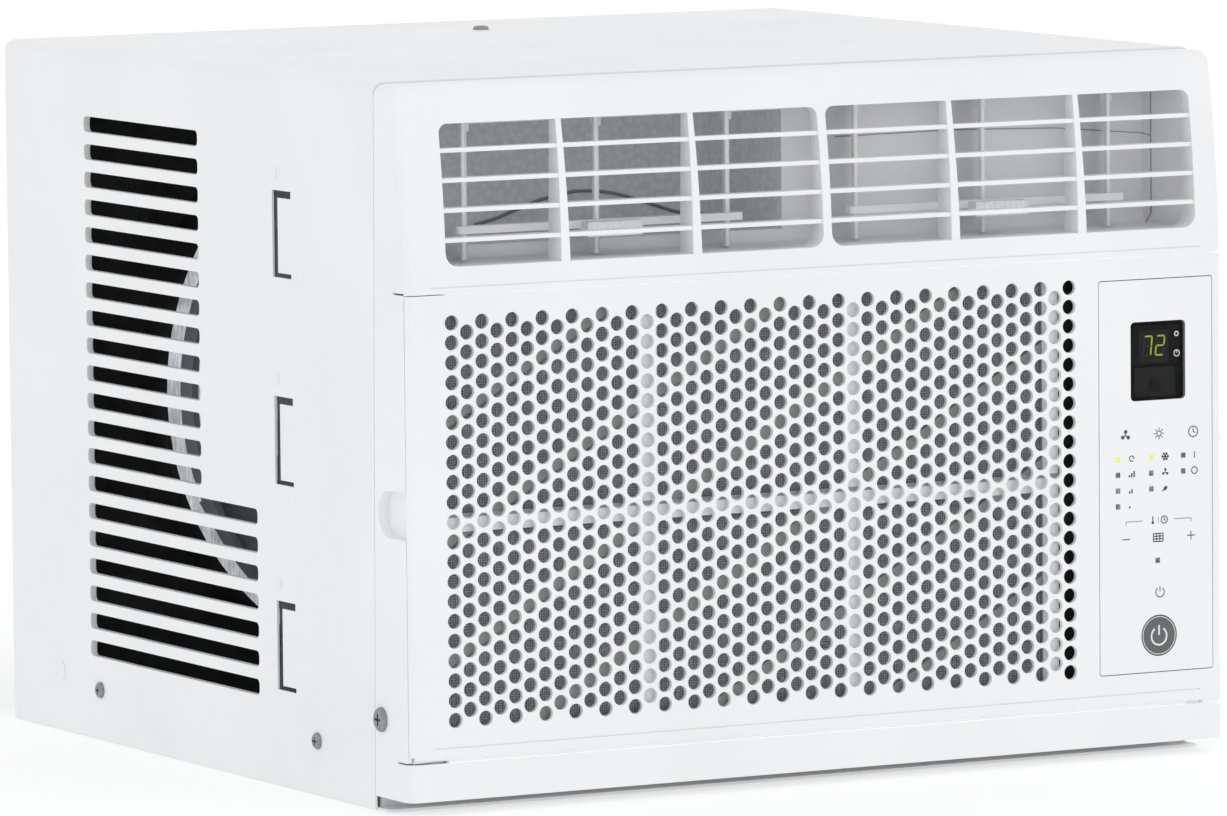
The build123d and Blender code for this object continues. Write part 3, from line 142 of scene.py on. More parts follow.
def combine(tree, operation, first, second):
    """Result of a Math node on two values, each a socket or a plain number, kept between 0 and 1."""
    node = tree.nodes.new("ShaderNodeMath")
    node.operation = operation
    node.use_clamp = True
    for socket, value in zip(node.inputs, (first, second)):
        if isinstance(value, float):
            socket.default_value = value
        else:
            tree.links.new(value, socket)
    return node.outputs["Value"]


def shade(colour, factor):
    """The colour made darker or lighter."""
    return tuple(channel * factor for channel in colour)


# ---------------------------------------------------------------- materials
def powder_coat(name, colour):
    """Satin paint on sheet steel: slow waviness, fine orange peel, faint handling marks."""
    material, tree, shader = new_material(name, colour, 0.4)
    shader.inputs["Coat Weight"].default_value = 0.12
    shader.inputs["Coat Roughness"].default_value = 0.3
    vary_colour(tree, shader, noise(tree, 14, 5), shade(colour, 0.965), shade(colour, 1.01))
    vary_roughness(tree, shader, noise(tree, 70, 5), 0.34, 0.5)
    relief(tree, shader, noise(tree, 9, 1), 0.25 * MM)
    relief(tree, shader, noise(tree, 1100, 2), 0.02 * MM)
    return material


def moulded_shader(name, colour, roughness=0.46, grain_depth=0.012 * MM):
    """Injection-moulded plastic with a fine spark-eroded grain and slight flow marks."""
    material, tree, shader = new_material(name, colour, roughness)
    vary_colour(tree, shader, noise(tree, 11, 4), shade(colour, 0.97), shade(colour, 1.01))
    vary_roughness(tree, shader, noise(tree, 45, 5), roughness - 0.06, roughness + 0.07)
    relief(tree, shader, noise(tree, 2600, 2), grain_depth)
    return material, tree, shader


def moulded_plastic(name, colour, roughness=0.46, grain_depth=0.012 * MM):
    """The moulded finish as it is, with nothing added."""
    return moulded_shader(name, colour, roughness, grain_depth)[0]


def white_housing(colour):
    """Front plastic, with a painted glow in the thin joints above and below the door that lightens their
    shade.
    """
    material, tree, shader = moulded_shader("white_moulding", colour)
    low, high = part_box("intake_grille")
    joint_middle, joint_reach = 0.4 * MM, 0.75 * MM
    joints = combine(tree, "ADD", near_plane(tree, "Z", high.z + joint_middle, joint_reach),
                     near_plane(tree, "Z", low.z - joint_middle, joint_reach))
    face_margin, painted_glow_depth = 0.3 * MM, 5 * MM
    behind_face = near_plane(tree, "Y", low.y + face_margin + painted_glow_depth, painted_glow_depth)
    glow_middle_x, glow_half_length = 15 * MM, 195 * MM
    past_left_end = near_plane(tree, "X", glow_middle_x, glow_half_length)
    painted_gap_glow = combine(tree, "MULTIPLY", combine(tree, "MULTIPLY", joints, behind_face), past_left_end)
    # Painted light: a faint glow stands in for light in the joints, which would otherwise lie in shade.
    painted_gap_light = 0.26
    shader.inputs["Emission Color"].default_value = (*colour, 1.0)
    tree.links.new(combine(tree, "MULTIPLY", painted_gap_glow, painted_gap_light), shader.inputs["Emission Strength"])
    return material


def filter_plastic(colour):
    """White net frame, with painted shade: its braces, set back from the front, and its level bar's upper
    edge are painted darker.
    """
    material, tree, shader = moulded_shader("filter_moulding", colour)
    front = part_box("filter_frame")[0].y
    face_reach = 0.5 * MM
    at_front = near_plane(tree, "Y", front, face_reach)
    bar_edge_z, bar_edge_reach = 125.2 * MM, 0.9 * MM
    unshaded_front = combine(tree, "SUBTRACT", at_front, near_plane(tree, "Z", bar_edge_z, bar_edge_reach))
    # Painted shade: all but the front face, and the bar's upper edge, run darker; the noise adds a slight
    # mottle.
    painted_shade_share, mottle_share = 0.8, 0.2
    shade_and_mottle = combine(tree, "ADD", combine(tree, "MULTIPLY", unshaded_front, painted_shade_share),
                   combine(tree, "MULTIPLY", noise(tree, 60, 4), mottle_share))
    vary_colour(tree, shader, shade_and_mottle, shade(colour, 0.42), colour, 0.1, 0.9)
    return material


def beaded_foam():
    """Expanded foam: pale beads pressed flat against each other, with a faint painted glow that lightens
    its shade.
    """
    material, tree, shader = new_material("beaded_foam", (0.62, 0.625, 0.63), 0.85)
    beads = cells(tree, 330)
    vary_colour(tree, shader, beads, (0.68, 0.685, 0.69), (0.58, 0.585, 0.59), 0.25, 0.75)
    # Painted light: a faint glow that lifts the shaded foam deep in the outlet.
    shader.inputs["Emission Color"].default_value = (0.95, 0.97, 1.0, 1.0)
    shader.inputs["Emission Strength"].default_value = 0.07
    relief(tree, shader, beads, -0.08 * MM)
    return material


def galvanised_sheet():
    """Zinc-coated steel with flat spangles of different brightness."""
    material, tree, shader = new_material("galvanised_sheet", (0.5, 0.52, 0.54), 0.42, 0.85)
    spangles = cells(tree, 95, "Color")
    vary_colour(tree, shader, spangles, (0.42, 0.44, 0.46), (0.62, 0.64, 0.66), 0.2, 0.8)
    vary_roughness(tree, shader, cells(tree, 95, "Color"), 0.34, 0.55)
    relief(tree, shader, noise(tree, 60, 4), 0.06 * MM)
    return material


def nylon_thread():
    """Off-white thread, uneven in colour from dust."""
    material, tree, shader = new_material("nylon_thread", (0.6, 0.61, 0.62), 0.55)
    vary_colour(tree, shader, noise(tree, 400, 3), (0.5, 0.51, 0.52), (0.68, 0.69, 0.7))
    relief(tree, shader, noise(tree, 6000, 2), 0.02 * MM)
    return material


def smoked_window():
    """Dark tinted window: gloss face, with the display glowing through it."""
    material, tree, shader = new_material("smoked_window", (0.004, 0.004, 0.004), 0.16)
    shader.inputs["Alpha"].default_value = 0.4
    shader.inputs["Specular IOR Level"].default_value = 0.15
    vary_colour(tree, shader, noise(tree, 90, 3), (0.003, 0.003, 0.003), (0.006, 0.006, 0.006))
    vary_roughness(tree, shader, noise(tree, 300, 5), 0.12, 0.24)
    relief(tree, shader, noise(tree, 25, 1), 0.05 * MM)
    return material


def display_face():
    """Near-black face of the display module."""
    material, tree, shader = new_material("display_face", (0.016, 0.017, 0.016), 0.5)
    vary_colour(tree, shader, noise(tree, 800, 3), (0.012, 0.013, 0.012), (0.022, 0.023, 0.022))
    relief(tree, shader, noise(tree, 5000, 2), 0.01 * MM)
    return material


def glowing(name, colour, strength):
    """Lit lens that glows evenly, with a milky grain."""
    material, tree, shader = new_material(name, colour, 0.35)
    vary_colour(tree, shader, noise(tree, 1800, 2), shade(colour, 0.8), colour)
    shader.inputs["Emission Color"].default_value = (*colour, 1.0)
    shader.inputs["Emission Strength"].default_value = strength
    relief(tree, shader, noise(tree, 3000, 2), 0.01 * MM)
    return material


def unlit_lens():
    """Grey lens of a lamp that is off."""
    material, tree, shader = new_material("unlit_lens", (0.17, 0.175, 0.18), 0.3)
    vary_colour(tree, shader, noise(tree, 500, 1), (0.1, 0.104, 0.108), (0.26, 0.265, 0.27), 0.4, 0.6)
    relief(tree, shader, noise(tree, 2500, 2), 0.03 * MM)
    return material


def dark_receiver():
    """Infrared window with a plum tint."""
    material, tree, shader = new_material("dark_receiver", (0.03, 0.02, 0.03), 0.2)
    vary_colour(tree, shader, noise(tree, 350, 3), (0.025, 0.02, 0.027), (0.05, 0.04, 0.05))
    relief(tree, shader, noise(tree, 250, 2), 0.04 * MM)
    return material


def solder_mask():
    """Green board with raised copper tracks under the mask."""
    material, tree, shader = new_material("solder_mask", (0.02, 0.11, 0.05), 0.34)
    tracks = cells(tree, 240, "Distance", "CHEBYCHEV")
    vary_colour(tree, shader, tracks, (0.012, 0.085, 0.035), (0.04, 0.19, 0.09), 0.4, 0.48)
    relief(tree, shader, tracks, 0.04 * MM, 0.6)
    return material


def fins_with_painted_glow():
    """Condenser fins; their inner edges get a painted glow in place of the light that comes through from
    behind.
    """
    material, tree, shader = new_material("condenser_fins", (0.62, 0.63, 0.65), 0.45, 0.8)
    grime_and_glow = noise(tree, 260, 6, (1, 1, 0.5))
    vary_colour(tree, shader, grime_and_glow, (0.36, 0.37, 0.39), (0.68, 0.7, 0.72))
    painted_glow_depth, painted_glow_strength = 8 * MM, 0.7
    inner_edge = near_plane(tree, "Y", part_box("condenser_coil")[0].y, painted_glow_depth)
    # Painted light: the fins' inner edges glow, more where the grime noise runs high.
    shader.inputs["Emission Color"].default_value = (0.8, 0.82, 0.85, 1.0)
    lit = combine(tree, "MULTIPLY", combine(tree, "MULTIPLY", grime_and_glow, painted_glow_strength), inner_edge)
    tree.links.new(lit, shader.inputs["Emission Strength"])
    relief(tree, shader, noise(tree, 1400, 3), 0.01 * MM)
    return material


def bare_metal(name, colour, roughness, scale=90, stretch=(1, 1, 1), depth=0.01 * MM):
    """Plain metal whose tarnish, scratches or drawing lines follow stretch."""
    material, tree, shader = new_material(name, colour, roughness, 1.0)
    vary_colour(tree, shader, noise(tree, scale, 5, stretch), shade(colour, 0.78), shade(colour, 1.08))
    vary_roughness(tree, shader, noise(tree, scale * 2, 5, stretch), roughness - 0.1, roughness + 0.14)
    relief(tree, shader, noise(tree, scale * 12, 3, stretch), depth)
    return material


def copper_pipe():
    """Drawn copper, partly gone brown where it was brazed."""
    material, tree, shader = new_material("copper_pipe", (0.72, 0.36, 0.22), 0.3, 1.0)
    vary_colour(tree, shader, noise(tree, 38, 6), (0.36, 0.17, 0.11), (0.82, 0.44, 0.28), 0.35, 0.6)
    vary_roughness(tree, shader, noise(tree, 120, 4), 0.22, 0.5)
    relief(tree, shader, noise(tree, 900, 3), 0.012 * MM)
    return material


def black_enamel():
    """Gloss black paint over pressed steel, with a film of dust."""
    material, tree, shader = new_material("black_enamel", (0.012, 0.012, 0.013), 0.28)
    vary_colour(tree, shader, noise(tree, 30, 6), (0.008, 0.008, 0.009), (0.03, 0.03, 0.032))
    vary_roughness(tree, shader, noise(tree, 80, 5), 0.22, 0.48)
    relief(tree, shader, noise(tree, 500, 2), 0.04 * MM)
    return material


def soft_black(name, roughness=0.8):
    """Matt rubber or glass-filled plastic with a dusty bloom."""
    material, tree, shader = new_material(name, (0.016, 0.016, 0.017), roughness)
    vary_colour(tree, shader, noise(tree, 60, 5), (0.01, 0.01, 0.011), (0.035, 0.035, 0.036))
    relief(tree, shader, noise(tree, 1500, 3), 0.03 * MM)
    return material


def printed_ink(name, colour):
    """Screen-printed ink, slightly uneven at the edge of each stroke."""
    material, tree, shader = new_material(name, colour, 0.55)
    vary_colour(tree, shader, noise(tree, 3000, 2), shade(colour, 0.85), shade(colour, 1.15))
    relief(tree, shader, noise(tree, 6000, 2), 0.006 * MM)
    return material


WHITE = (0.88, 0.885, 0.885)
SLOT_MATERIALS = {
    "cabinet_steel": powder_coat("cabinet_paint", (0.86, 0.867, 0.88)),
    "pan_steel": powder_coat("pan_paint", (0.8, 0.81, 0.83)),
    "white_plastic": white_housing(WHITE),
    "grey_plastic": moulded_plastic("grey_moulding", (0.3, 0.31, 0.32), 0.6, 0.02 * MM),
    "foam": beaded_foam(),
    "galvanised": galvanised_sheet(),
    "mesh": nylon_thread(),
    "smoked_lens": smoked_window(),
    "display": display_face(),
    "receiver": dark_receiver(),
    "led_lens": unlit_lens(),
    "board": solder_mask(),
    "black_plastic": soft_black("black_moulding", 0.5),
    "duct_plastic": moulded_plastic("duct_moulding", (0.88, 0.88, 0.885), 0.5),
    "key_plastic": moulded_plastic("key_moulding", (0.8, 0.8, 0.8)),
    "button": moulded_plastic("button_moulding", (0.115, 0.117, 0.12), 0.4),
    "aluminium_fins": bare_metal("aluminium_fins", (0.68, 0.7, 0.72), 0.38, 120, (1, 1, 0.2)),
    "copper": copper_pipe(),
    "black_paint": black_enamel(),
    "rubber": soft_black("rubber"),
    "zinc": bare_metal("zinc_plate", (0.3, 0.305, 0.31), 0.16, 420, depth=0.05 * MM),
    "motor_steel": bare_metal("motor_steel", (0.45, 0.46, 0.47), 0.42, 70),
    "shaft_steel": bare_metal("shaft_steel", (0.55, 0.56, 0.57), 0.25, 160, (1, 0.1, 1)),
    "capacitor_can": bare_metal("capacitor_can", (0.72, 0.73, 0.74), 0.35, 200, (1, 1, 0.1)),
}
INK_GREY = printed_ink("ink_grey", (0.05, 0.051, 0.055))
INK_WHITE = printed_ink("ink_white", (0.8, 0.8, 0.8))
LIT_SEGMENT = glowing("lit_segment", (0.55, 0.62, 0.05), 1.5)
LIT_LED = glowing("lit_led", (0.6, 0.7, 0.14), 0.42)
DARK_SEGMENT = printed_ink("dark_segment", (0.16, 0.17, 0.12))
DISPLAY_FIELD = printed_ink("display_field", (0.085, 0.085, 0.088))


# ---------------------------------------------------------------- pieces
def add_piece(name, vertices, faces, material, slot, body):
    """New mesh object that rides on body and takes the given material; slot is not used."""
    mesh = bpy.data.meshes.new(name)
    mesh.from_pydata(vertices, [], faces)
    tidy = bmesh.new()
    tidy.from_mesh(mesh)
    bmesh.ops.recalc_face_normals(tidy, faces=tidy.faces)
    tidy.to_mesh(mesh)
    tidy.free()
    mesh.materials.append(material)
    piece = bpy.data.objects.new(name, mesh)
    bpy.context.scene.collection.objects.link(piece)
    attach(piece, body)
    return piece


def loft(sections, closed_ends=True):
    """Skin over a list of equally long rings of points."""
    vertices = [point for ring in sections for point in ring]
    count = len(sections[0])
    faces = []
    for section in range(len(sections) - 1):
        for corner in range(count):
            here = section * count + corner
            beside = section * count + (corner + 1) % count
            faces.append((here, beside, beside + count, here + count))
    if closed_ends:
        faces.append(tuple(range(count)))
        faces.append(tuple(range(len(vertices) - count, len(vertices))))
    return vertices, faces


def merged(parts):
    """One vertex list and one face list from several."""
    vertices, faces = [], []
    for part_vertices, part_faces in parts:
        first = len(vertices)
        vertices += part_vertices
        faces += [tuple(first + index for index in face) for face in part_faces]
    return vertices, faces


def straight_rod(start, end, radius, sides=10):
    """Round rod between two points."""
    start, end = Vector(start), Vector(end)
    turn = (end - start).to_track_quat("Z", "Y").to_matrix()
    ring = []
    for side in range(sides):
        angle = 2 * math.pi * side / sides
        ring.append(turn @ Vector((radius * math.cos(angle), radius * math.sin(angle), 0)))
    return loft([[start + point for point in ring], [end + point for point in ring]])


# ---------------------------------------------------------------- heat exchangers
FIN_THICK = 0.14 * MM
FIN_PITCH = 1.7 * MM
FIN_WAVE = 0.32 * MM
FIN_FOLDS = 10
FIN_SETBACK = 2 * MM
FIN_END_GAP = 1 * MM
PLATE_THICK = 1.2 * MM
PLATE_FLANGE = 4 * MM
COIL_PIPE_RADIUS = 3.5 * MM


def corrugated_fin(x, front, back, bottom, top):
    """Thin upright fin whose depth is pressed into small waves."""
    near_side, far_side = [], []
    for fold in range(FIN_FOLDS + 1):
        y = front + (back - front) * fold / FIN_FOLDS
        wave = FIN_WAVE if fold % 2 else -FIN_WAVE
        near_side.append((x + wave - FIN_THICK / 2, y))
        far_side.append((x + wave + FIN_THICK / 2, y))
    outline = near_side + far_side[::-1]
    return loft([[(px, py, z) for px, py in outline] for z in (bottom, top)])


def end_plate(x, outward, front, back, bottom, top):
    """Sheet plate at one end of a coil, its front and back edges bent outwards."""
    inner = x - outward * PLATE_THICK
    outline = [(x + outward * PLATE_FLANGE, front), (x + outward * PLATE_FLANGE, front + PLATE_THICK),
               (x, front + PLATE_THICK), (x, back - PLATE_THICK),
               (x + outward * PLATE_FLANGE, back - PLATE_THICK), (x + outward * PLATE_FLANGE, back),
               (inner, back), (inner, front)]
    return loft([[(px, py, z) for px, py in outline] for z in (bottom, top)])


def heat_exchanger(node, fin_finish, plate_slot, tube_depths, first_tube_z, tube_pitch, tube_rows):
    """Fins, end plates and the fin collars round each tube, in place of a plain coil block."""
    low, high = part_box(node)
    left, right = low.x + PLATE_THICK, high.x - PLATE_THICK
    front, back = low.y + FIN_SETBACK, high.y - FIN_SETBACK
    fins = []
    for number in range(1, int((right - left) / FIN_PITCH)):
        x = left + number * FIN_PITCH
        fins.append(corrugated_fin(x, front, back, low.z + FIN_END_GAP, high.z - FIN_END_GAP))
    fin_pack = add_piece(f"{node}_fins", *merged(fins), fin_finish, "aluminium_fins", "root")
    plates = [end_plate(left, -1, low.y, high.y, low.z, high.z),
              end_plate(right, 1, low.y, high.y, low.z, high.z)]
    add_piece(f"{node}_plates", *merged(plates), SLOT_MATERIALS[plate_slot], plate_slot, "root")
    tubes = []
    for y in tube_depths:
        for row in range(tube_rows):
            z = first_tube_z + row * tube_pitch
            tubes.append(straight_rod((left, y, z), (right, y, z), COIL_PIPE_RADIUS))
    add_piece(f"{node}_collars", *merged(tubes), SLOT_MATERIALS["aluminium_fins"],
              "aluminium_fins", "root")
    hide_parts(node)


# ---------------------------------------------------------------- air path details
def tube_line(name, points, radius, material, slot):
    """Thin round bead along a few points."""
    rods = [straight_rod(start, end, radius, 6) for start, end in zip(points, points[1:])]
    return add_piece(name, *merged(rods), material, slot, "root")


def dark_edge_strip():
    """Black strip between the filter opening and the return bends of the coil; it keeps the last column of
    holes dark.
    """
    left, right = 120 * MM, 131 * MM
    front, back = -184.5 * MM, -178.2 * MM
    bottom, top = 27 * MM, 218 * MM
    bevel = 1 * MM
    outline = [(left, front + bevel), (left + bevel, front), (right - bevel, front),
               (right, front + bevel), (right, back), (left, back)]
    strip = loft([[(x, y, z) for x, y in outline] for z in (bottom, top)])
    add_piece("dark_edge_strip", *strip, SLOT_MATERIALS["rubber"], "rubber", "root")


DUCT_SIDE_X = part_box("outlet_duct")[1].x - 2.6 * MM
DUCT_REAR_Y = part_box("outlet_duct")[1].y - 2.7 * MM
LINER_JOINT_Y = -156 * MM


def liner_joint():
    """Joint of the lining: down the right wall, then round the coved corner."""
    foot_z = 229.2 * MM
    points = [(DUCT_SIDE_X, LINER_JOINT_Y, 288 * MM), (DUCT_SIDE_X, LINER_JOINT_Y, 238 * MM),
              (DUCT_SIDE_X - 0.6 * MM, LINER_JOINT_Y - 0.5 * MM, 233 * MM),
              (DUCT_SIDE_X - 4 * MM, LINER_JOINT_Y - 2 * MM, foot_z)]
    tube_line("liner_joint", points, 0.3 * MM, SLOT_MATERIALS["grey_plastic"], "grey_plastic")


def painted_crease_shade():
    """Painted shade: a dark line along the back wall where the lining sags into a crease, ending at the
    joint.
    """
    points = [(32 * MM, DUCT_REAR_Y, 272.2 * MM), (90 * MM, DUCT_REAR_Y, 272.8 * MM),
              (142 * MM, DUCT_REAR_Y, 271.4 * MM), (DUCT_SIDE_X, DUCT_REAR_Y, 267.4 * MM),
              (DUCT_SIDE_X, LINER_JOINT_Y, 266.6 * MM)]
    tube_line("painted_crease_shade", points, 0.2 * MM, SLOT_MATERIALS["grey_plastic"], "grey_plastic")


def scroll_rib():
    """Arched rib on the back wall of the scroll, seen through the left outlet."""
    left, length = -106 * MM, 118 * MM
    y, foot_z, rise = -78.6 * MM, 236 * MM, 12.5 * MM
    lean, sharpness, steps = 1.12, 1.4, 12
    points = []
    for step in range(steps + 1):
        along = step / steps
        arch = math.sin(math.pi * min(1, along * lean)) ** sharpness
        points.append((left + along * length, y, foot_z + rise * arch))
    tube_line("scroll_rib", points, 0.8 * MM, SLOT_MATERIALS["grey_plastic"], "grey_plastic")


# ---------------------------------------------------------------- filter net
THREAD_PITCH = 1.1 * MM
THREAD_RADIUS = 0.19 * MM


def thread(start, end):
    """Straight four-sided thread."""
    return straight_rod(start, end, THREAD_RADIUS, 4)


def filter_net():
    """Upright and level threads in two touching layers, held at the frame."""
    low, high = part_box("filter_mesh")
    middle_y = (low.y + high.y) / 2
    threads = []
    for number in range(1, int((high.x - low.x) / THREAD_PITCH)):
        x = low.x + number * THREAD_PITCH
        y = middle_y - 0.8 * THREAD_RADIUS
        threads.append(thread((x, y, low.z), (x, y, high.z)))
    for number in range(1, int((high.z - low.z) / THREAD_PITCH)):
        z = low.z + number * THREAD_PITCH
        y = middle_y + 0.8 * THREAD_RADIUS
        threads.append(thread((low.x, y, z), (high.x, y, z)))
    net = add_piece("filter_net", *merged(threads), SLOT_MATERIALS["mesh"], "mesh", "intake_door")
    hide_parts("filter_mesh")


# ---------------------------------------------------------------- flat shapes on the front
# Each shape is a list of outlines, and an outline a list of (x, z) points.
def disc(x, z, radius, points=28):
    """Round dot."""
    outline = []
    for number in range(points):
        angle = 2 * math.pi * number / points
        outline.append((x + radius * math.cos(angle), z + radius * math.sin(angle)))
    return [outline]


def arc(x, z, radius, width=STROKE, start=0, end=360, steps=36):
    """Band along part of a circle; angles in degrees from +x towards +z."""
    shape = []
    inner, outer = radius - width / 2, radius + width / 2
    for step in range(steps):
        first = math.radians(start + (end - start) * step / steps)
        last = math.radians(start + (end - start) * (step + 1) / steps)
        shape.append([(x + inner * math.cos(first), z + inner * math.sin(first)),
                      (x + outer * math.cos(first), z + outer * math.sin(first)),
                      (x + outer * math.cos(last), z + outer * math.sin(last)),
                      (x + inner * math.cos(last), z + inner * math.sin(last))])
    return shape


def stroke(x0, z0, x1, z1, width=STROKE):
    """Straight bar between two points."""
    along = Vector((x1 - x0, z1 - z0)).normalized()
    across = Vector((-along.y, along.x)) * width / 2
    return [[(x0 + across.x, z0 + across.y), (x0 - across.x, z0 - across.y),
             (x1 - across.x, z1 - across.y), (x1 + across.x, z1 + across.y)]]


def rectangle(left, bottom, right, top):
    """Plain rectangle."""
    return [[(left, bottom), (right, bottom), (right, top), (left, top)]]


def spoke(x, z, angle, inner, outer, width=STROKE):
    """Bar that points away from (x, z)."""
    turn = math.radians(angle)
    return stroke(x + inner * math.cos(turn), z + inner * math.sin(turn),
                  x + outer * math.cos(turn), z + outer * math.sin(turn), width)


def raised(shapes, y, height=PRINT_HEIGHT):
    """The outlines as thin solids standing on the plane at y, towards the room."""
    parts = []
    for outline in shapes:
        parts.append(loft([[(x, y, z) for x, z in outline],
                           [(x, y - height, z) for x, z in outline]]))
    return merged(parts)


def fan_icon(x, z, size):
    """Three blades round a hub."""
    shape = disc(x, z, 0.17 * size)
    for start in (90, 210, 330):
        blade = []
        for radius, angle in ((0.22, -12), (0.62, -34), (0.98, -20), (1.0, 12), (0.66, 30), (0.22, 20)):
            turn = math.radians(start + angle)
            blade.append((x + radius * size * math.cos(turn), z + radius * size * math.sin(turn)))
        shape.append(blade)
    return shape


def sun_icon(x, z, size):
    """Ring with eight rays."""
    shape = arc(x, z, 0.45 * size)
    for angle in range(0, 360, 45):
        shape += spoke(x, z, angle, 0.68 * size, size)
    return shape


def clock_icon(x, z, size):
    """Ring with two hands."""
    hands = spoke(x, z, 90, 0, 0.62 * size) + spoke(x, z, -30, 0, 0.45 * size)
    return arc(x, z, 0.9 * size) + hands


def snowflake_icon(x, z, size):
    """Six forked arms."""
    shape = []
    for angle in range(0, 360, 60):
        shape += spoke(x, z, angle, 0, size)
        turn = math.radians(angle)
        fork_x = x + 0.55 * size * math.cos(turn)
        fork_z = z + 0.55 * size * math.sin(turn)
        shape += spoke(fork_x, fork_z, angle + 50, 0, 0.4 * size)
        shape += spoke(fork_x, fork_z, angle - 50, 0, 0.4 * size)
    return shape


def leaf_icon(x, z, size):
    """Slanting leaf with a stalk."""
    edge = []
    for step in range(13):
        along = -1 + step / 6
        edge.append((along, 0.52 * math.cos(along * math.pi / 2)))
    outline = edge + [(along, -bulge) for along, bulge in edge[-2:0:-1]]
    turn = Matrix.Rotation(math.radians(38), 2)
    points = [turn @ Vector(point) * 0.85 * size for point in outline]
    return [[(x + point.x, z + point.y) for point in points]] + spoke(x, z, 218, 0.7 * size, 1.2 * size)


def cycle_icon(x, z, size):
    """Open ring that ends in an arrowhead."""
    tip = math.radians(20)
    tip_x, tip_z = x + 0.8 * size * math.cos(tip), z + 0.8 * size * math.sin(tip)
    head = [[(tip_x - 0.4 * size, tip_z), (tip_x + 0.4 * size, tip_z), (tip_x, tip_z - 0.5 * size)]]
    return arc(x, z, 0.8 * size, start=25, end=310) + head


def level_icon(x, z, size, bars):
    """One, two or three rising bars."""
    shape = []
    for bar in range(bars):
        bar_x = x - 0.8 * size + bar * 0.8 * size
        shape += stroke(bar_x, z - 0.9 * size, bar_x, z - 0.2 * size + bar * 0.6 * size, 0.5 * size)
    return shape


def net_icon(x, z, size):
    """Grid of three by three cells."""
    shape = []
    for line in (-1, -0.33, 0.33, 1):
        shape += stroke(x + line * 1.4 * size, z - size, x + line * 1.4 * size, z + size)
        shape += stroke(x - 1.4 * size, z + line * size, x + 1.4 * size, z + line * size)
    return shape


def power_icon(x, z, size, width=STROKE):
    """Open ring with an upright bar."""
    ring = arc(x, z, 0.85 * size, width, start=125, end=415)
    return ring + stroke(x, z + 0.1 * size, x, z + 1.05 * size, width)


def thermometer_icon(x, z, size):
    """Bulb and stem."""
    return disc(x, z - 0.6 * size, 0.36 * size) + stroke(x, z - 0.5 * size, x, z + size, 0.3 * size)


# ---------------------------------------------------------------- control panel
PANEL_FACE_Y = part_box("control_panel")[0].y
HEADING = 2.5 * MM
LABEL = 1.45 * MM
FAN_X, MODE_X, DELAY_X = 152.7 * MM, 169.6 * MM, 184.4 * MM
HEADING_Z = 140.7 * MM
HEADING_X = [149.6 * MM, 166.5 * MM, 183.8 * MM]
ROW_Z = [130.6 * MM, 123.8 * MM, 116.8 * MM, 110.3 * MM]
SET_Z = 95.6 * MM
POWER_MARK_Z = 71.8 * MM
LIT_LAMPS = [(145.7 * MM, ROW_Z[0]), (162.5 * MM, ROW_Z[0])]
LAMP_REACH = 2 * MM


def row_labels():
    """Small pictures beside the lamps, in three columns."""
    fan = cycle_icon(FAN_X, ROW_Z[0], LABEL)
    for bars, z in ((3, ROW_Z[1]), (2, ROW_Z[2]), (1, ROW_Z[3])):
        fan += level_icon(FAN_X, z, LABEL, bars)
    mode = snowflake_icon(MODE_X, ROW_Z[0], 1.3 * LABEL)
    mode += fan_icon(MODE_X, ROW_Z[1], 1.2 * LABEL)
    mode += leaf_icon(MODE_X, ROW_Z[2], 1.2 * LABEL)
    delay = stroke(DELAY_X, ROW_Z[0] - LABEL, DELAY_X, ROW_Z[0] + LABEL)
    delay += arc(DELAY_X, ROW_Z[1], LABEL)
    return fan + mode + delay


def panel_headings():
    """Pictures over the columns, between minus and plus, and over the power key."""
    shapes = fan_icon(HEADING_X[0], HEADING_Z, HEADING)
    shapes += sun_icon(HEADING_X[1], HEADING_Z, HEADING)
    shapes += clock_icon(HEADING_X[2], HEADING_Z, HEADING)
    shapes += net_icon(165.9 * MM, SET_Z, 0.7 * HEADING)
    shapes += power_icon(166.7 * MM, POWER_MARK_Z, HEADING)
    return shapes


def setting_marks():
    """Minus and plus, and the bracket over them with its two small pictures."""
    minus_x, plus_x = 149.7 * MM, 182.5 * MM
    arm, thin = 1.9 * MM, 0.25 * MM
    bracket_z, drop = 103.2 * MM, 1.6 * MM
    shapes = stroke(minus_x - arm, SET_Z, minus_x + arm, SET_Z)
    shapes += stroke(plus_x - arm, SET_Z, plus_x + arm, SET_Z)
    shapes += stroke(plus_x, SET_Z - arm, plus_x, SET_Z + arm)
    for outer_x, inner_x in ((minus_x, 158.0 * MM), (plus_x, 174.0 * MM)):
        shapes += stroke(outer_x, bracket_z, inner_x, bracket_z, thin)
        shapes += stroke(outer_x, bracket_z, outer_x, bracket_z - drop, thin)
    shapes += thermometer_icon(163.2 * MM, bracket_z, 1.2 * LABEL)
    shapes += stroke(166.0 * MM, bracket_z - 1.4 * MM, 166.0 * MM, bracket_z + 1.4 * MM, 0.2 * MM)
    shapes += clock_icon(169.0 * MM, bracket_z, 1.2 * LABEL)
    return shapes


def panel_print():
    """Everything printed on the panel, as one piece."""
    shapes = panel_headings() + row_labels() + setting_marks()
    add_piece("panel_print", *raised(shapes, PANEL_FACE_Y), INK_GREY, "black_plastic", "root")


def button_mark():
    """Power symbol and bright rim on the round button."""
    low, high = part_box("power_button")
    x, z = (low.x + high.x) / 2, (low.z + high.z) / 2
    radius = (high.x - low.x) / 2
    rim = arc(x, z, radius - 0.55 * MM, 0.3 * MM, steps=72)
    symbol = power_icon(x, z - 0.3 * MM, 0.52 * radius, 0.8 * MM)
    add_piece("button_mark", *raised(rim + symbol, low.y), INK_WHITE, "key_plastic", "power_button")


def light_lamps():
    """The two lit lamps get the glowing lens; the others stay grey."""
    pipes = frame["nodes"]["led_light_pipes"]
    pipes.data.materials.append(LIT_LED)
    for face in pipes.data.polygons:
        for x, z in LIT_LAMPS:
            if abs(face.center.x - x) < LAMP_REACH and abs(face.center.z - z) < LAMP_REACH:
                face.material_index = 1


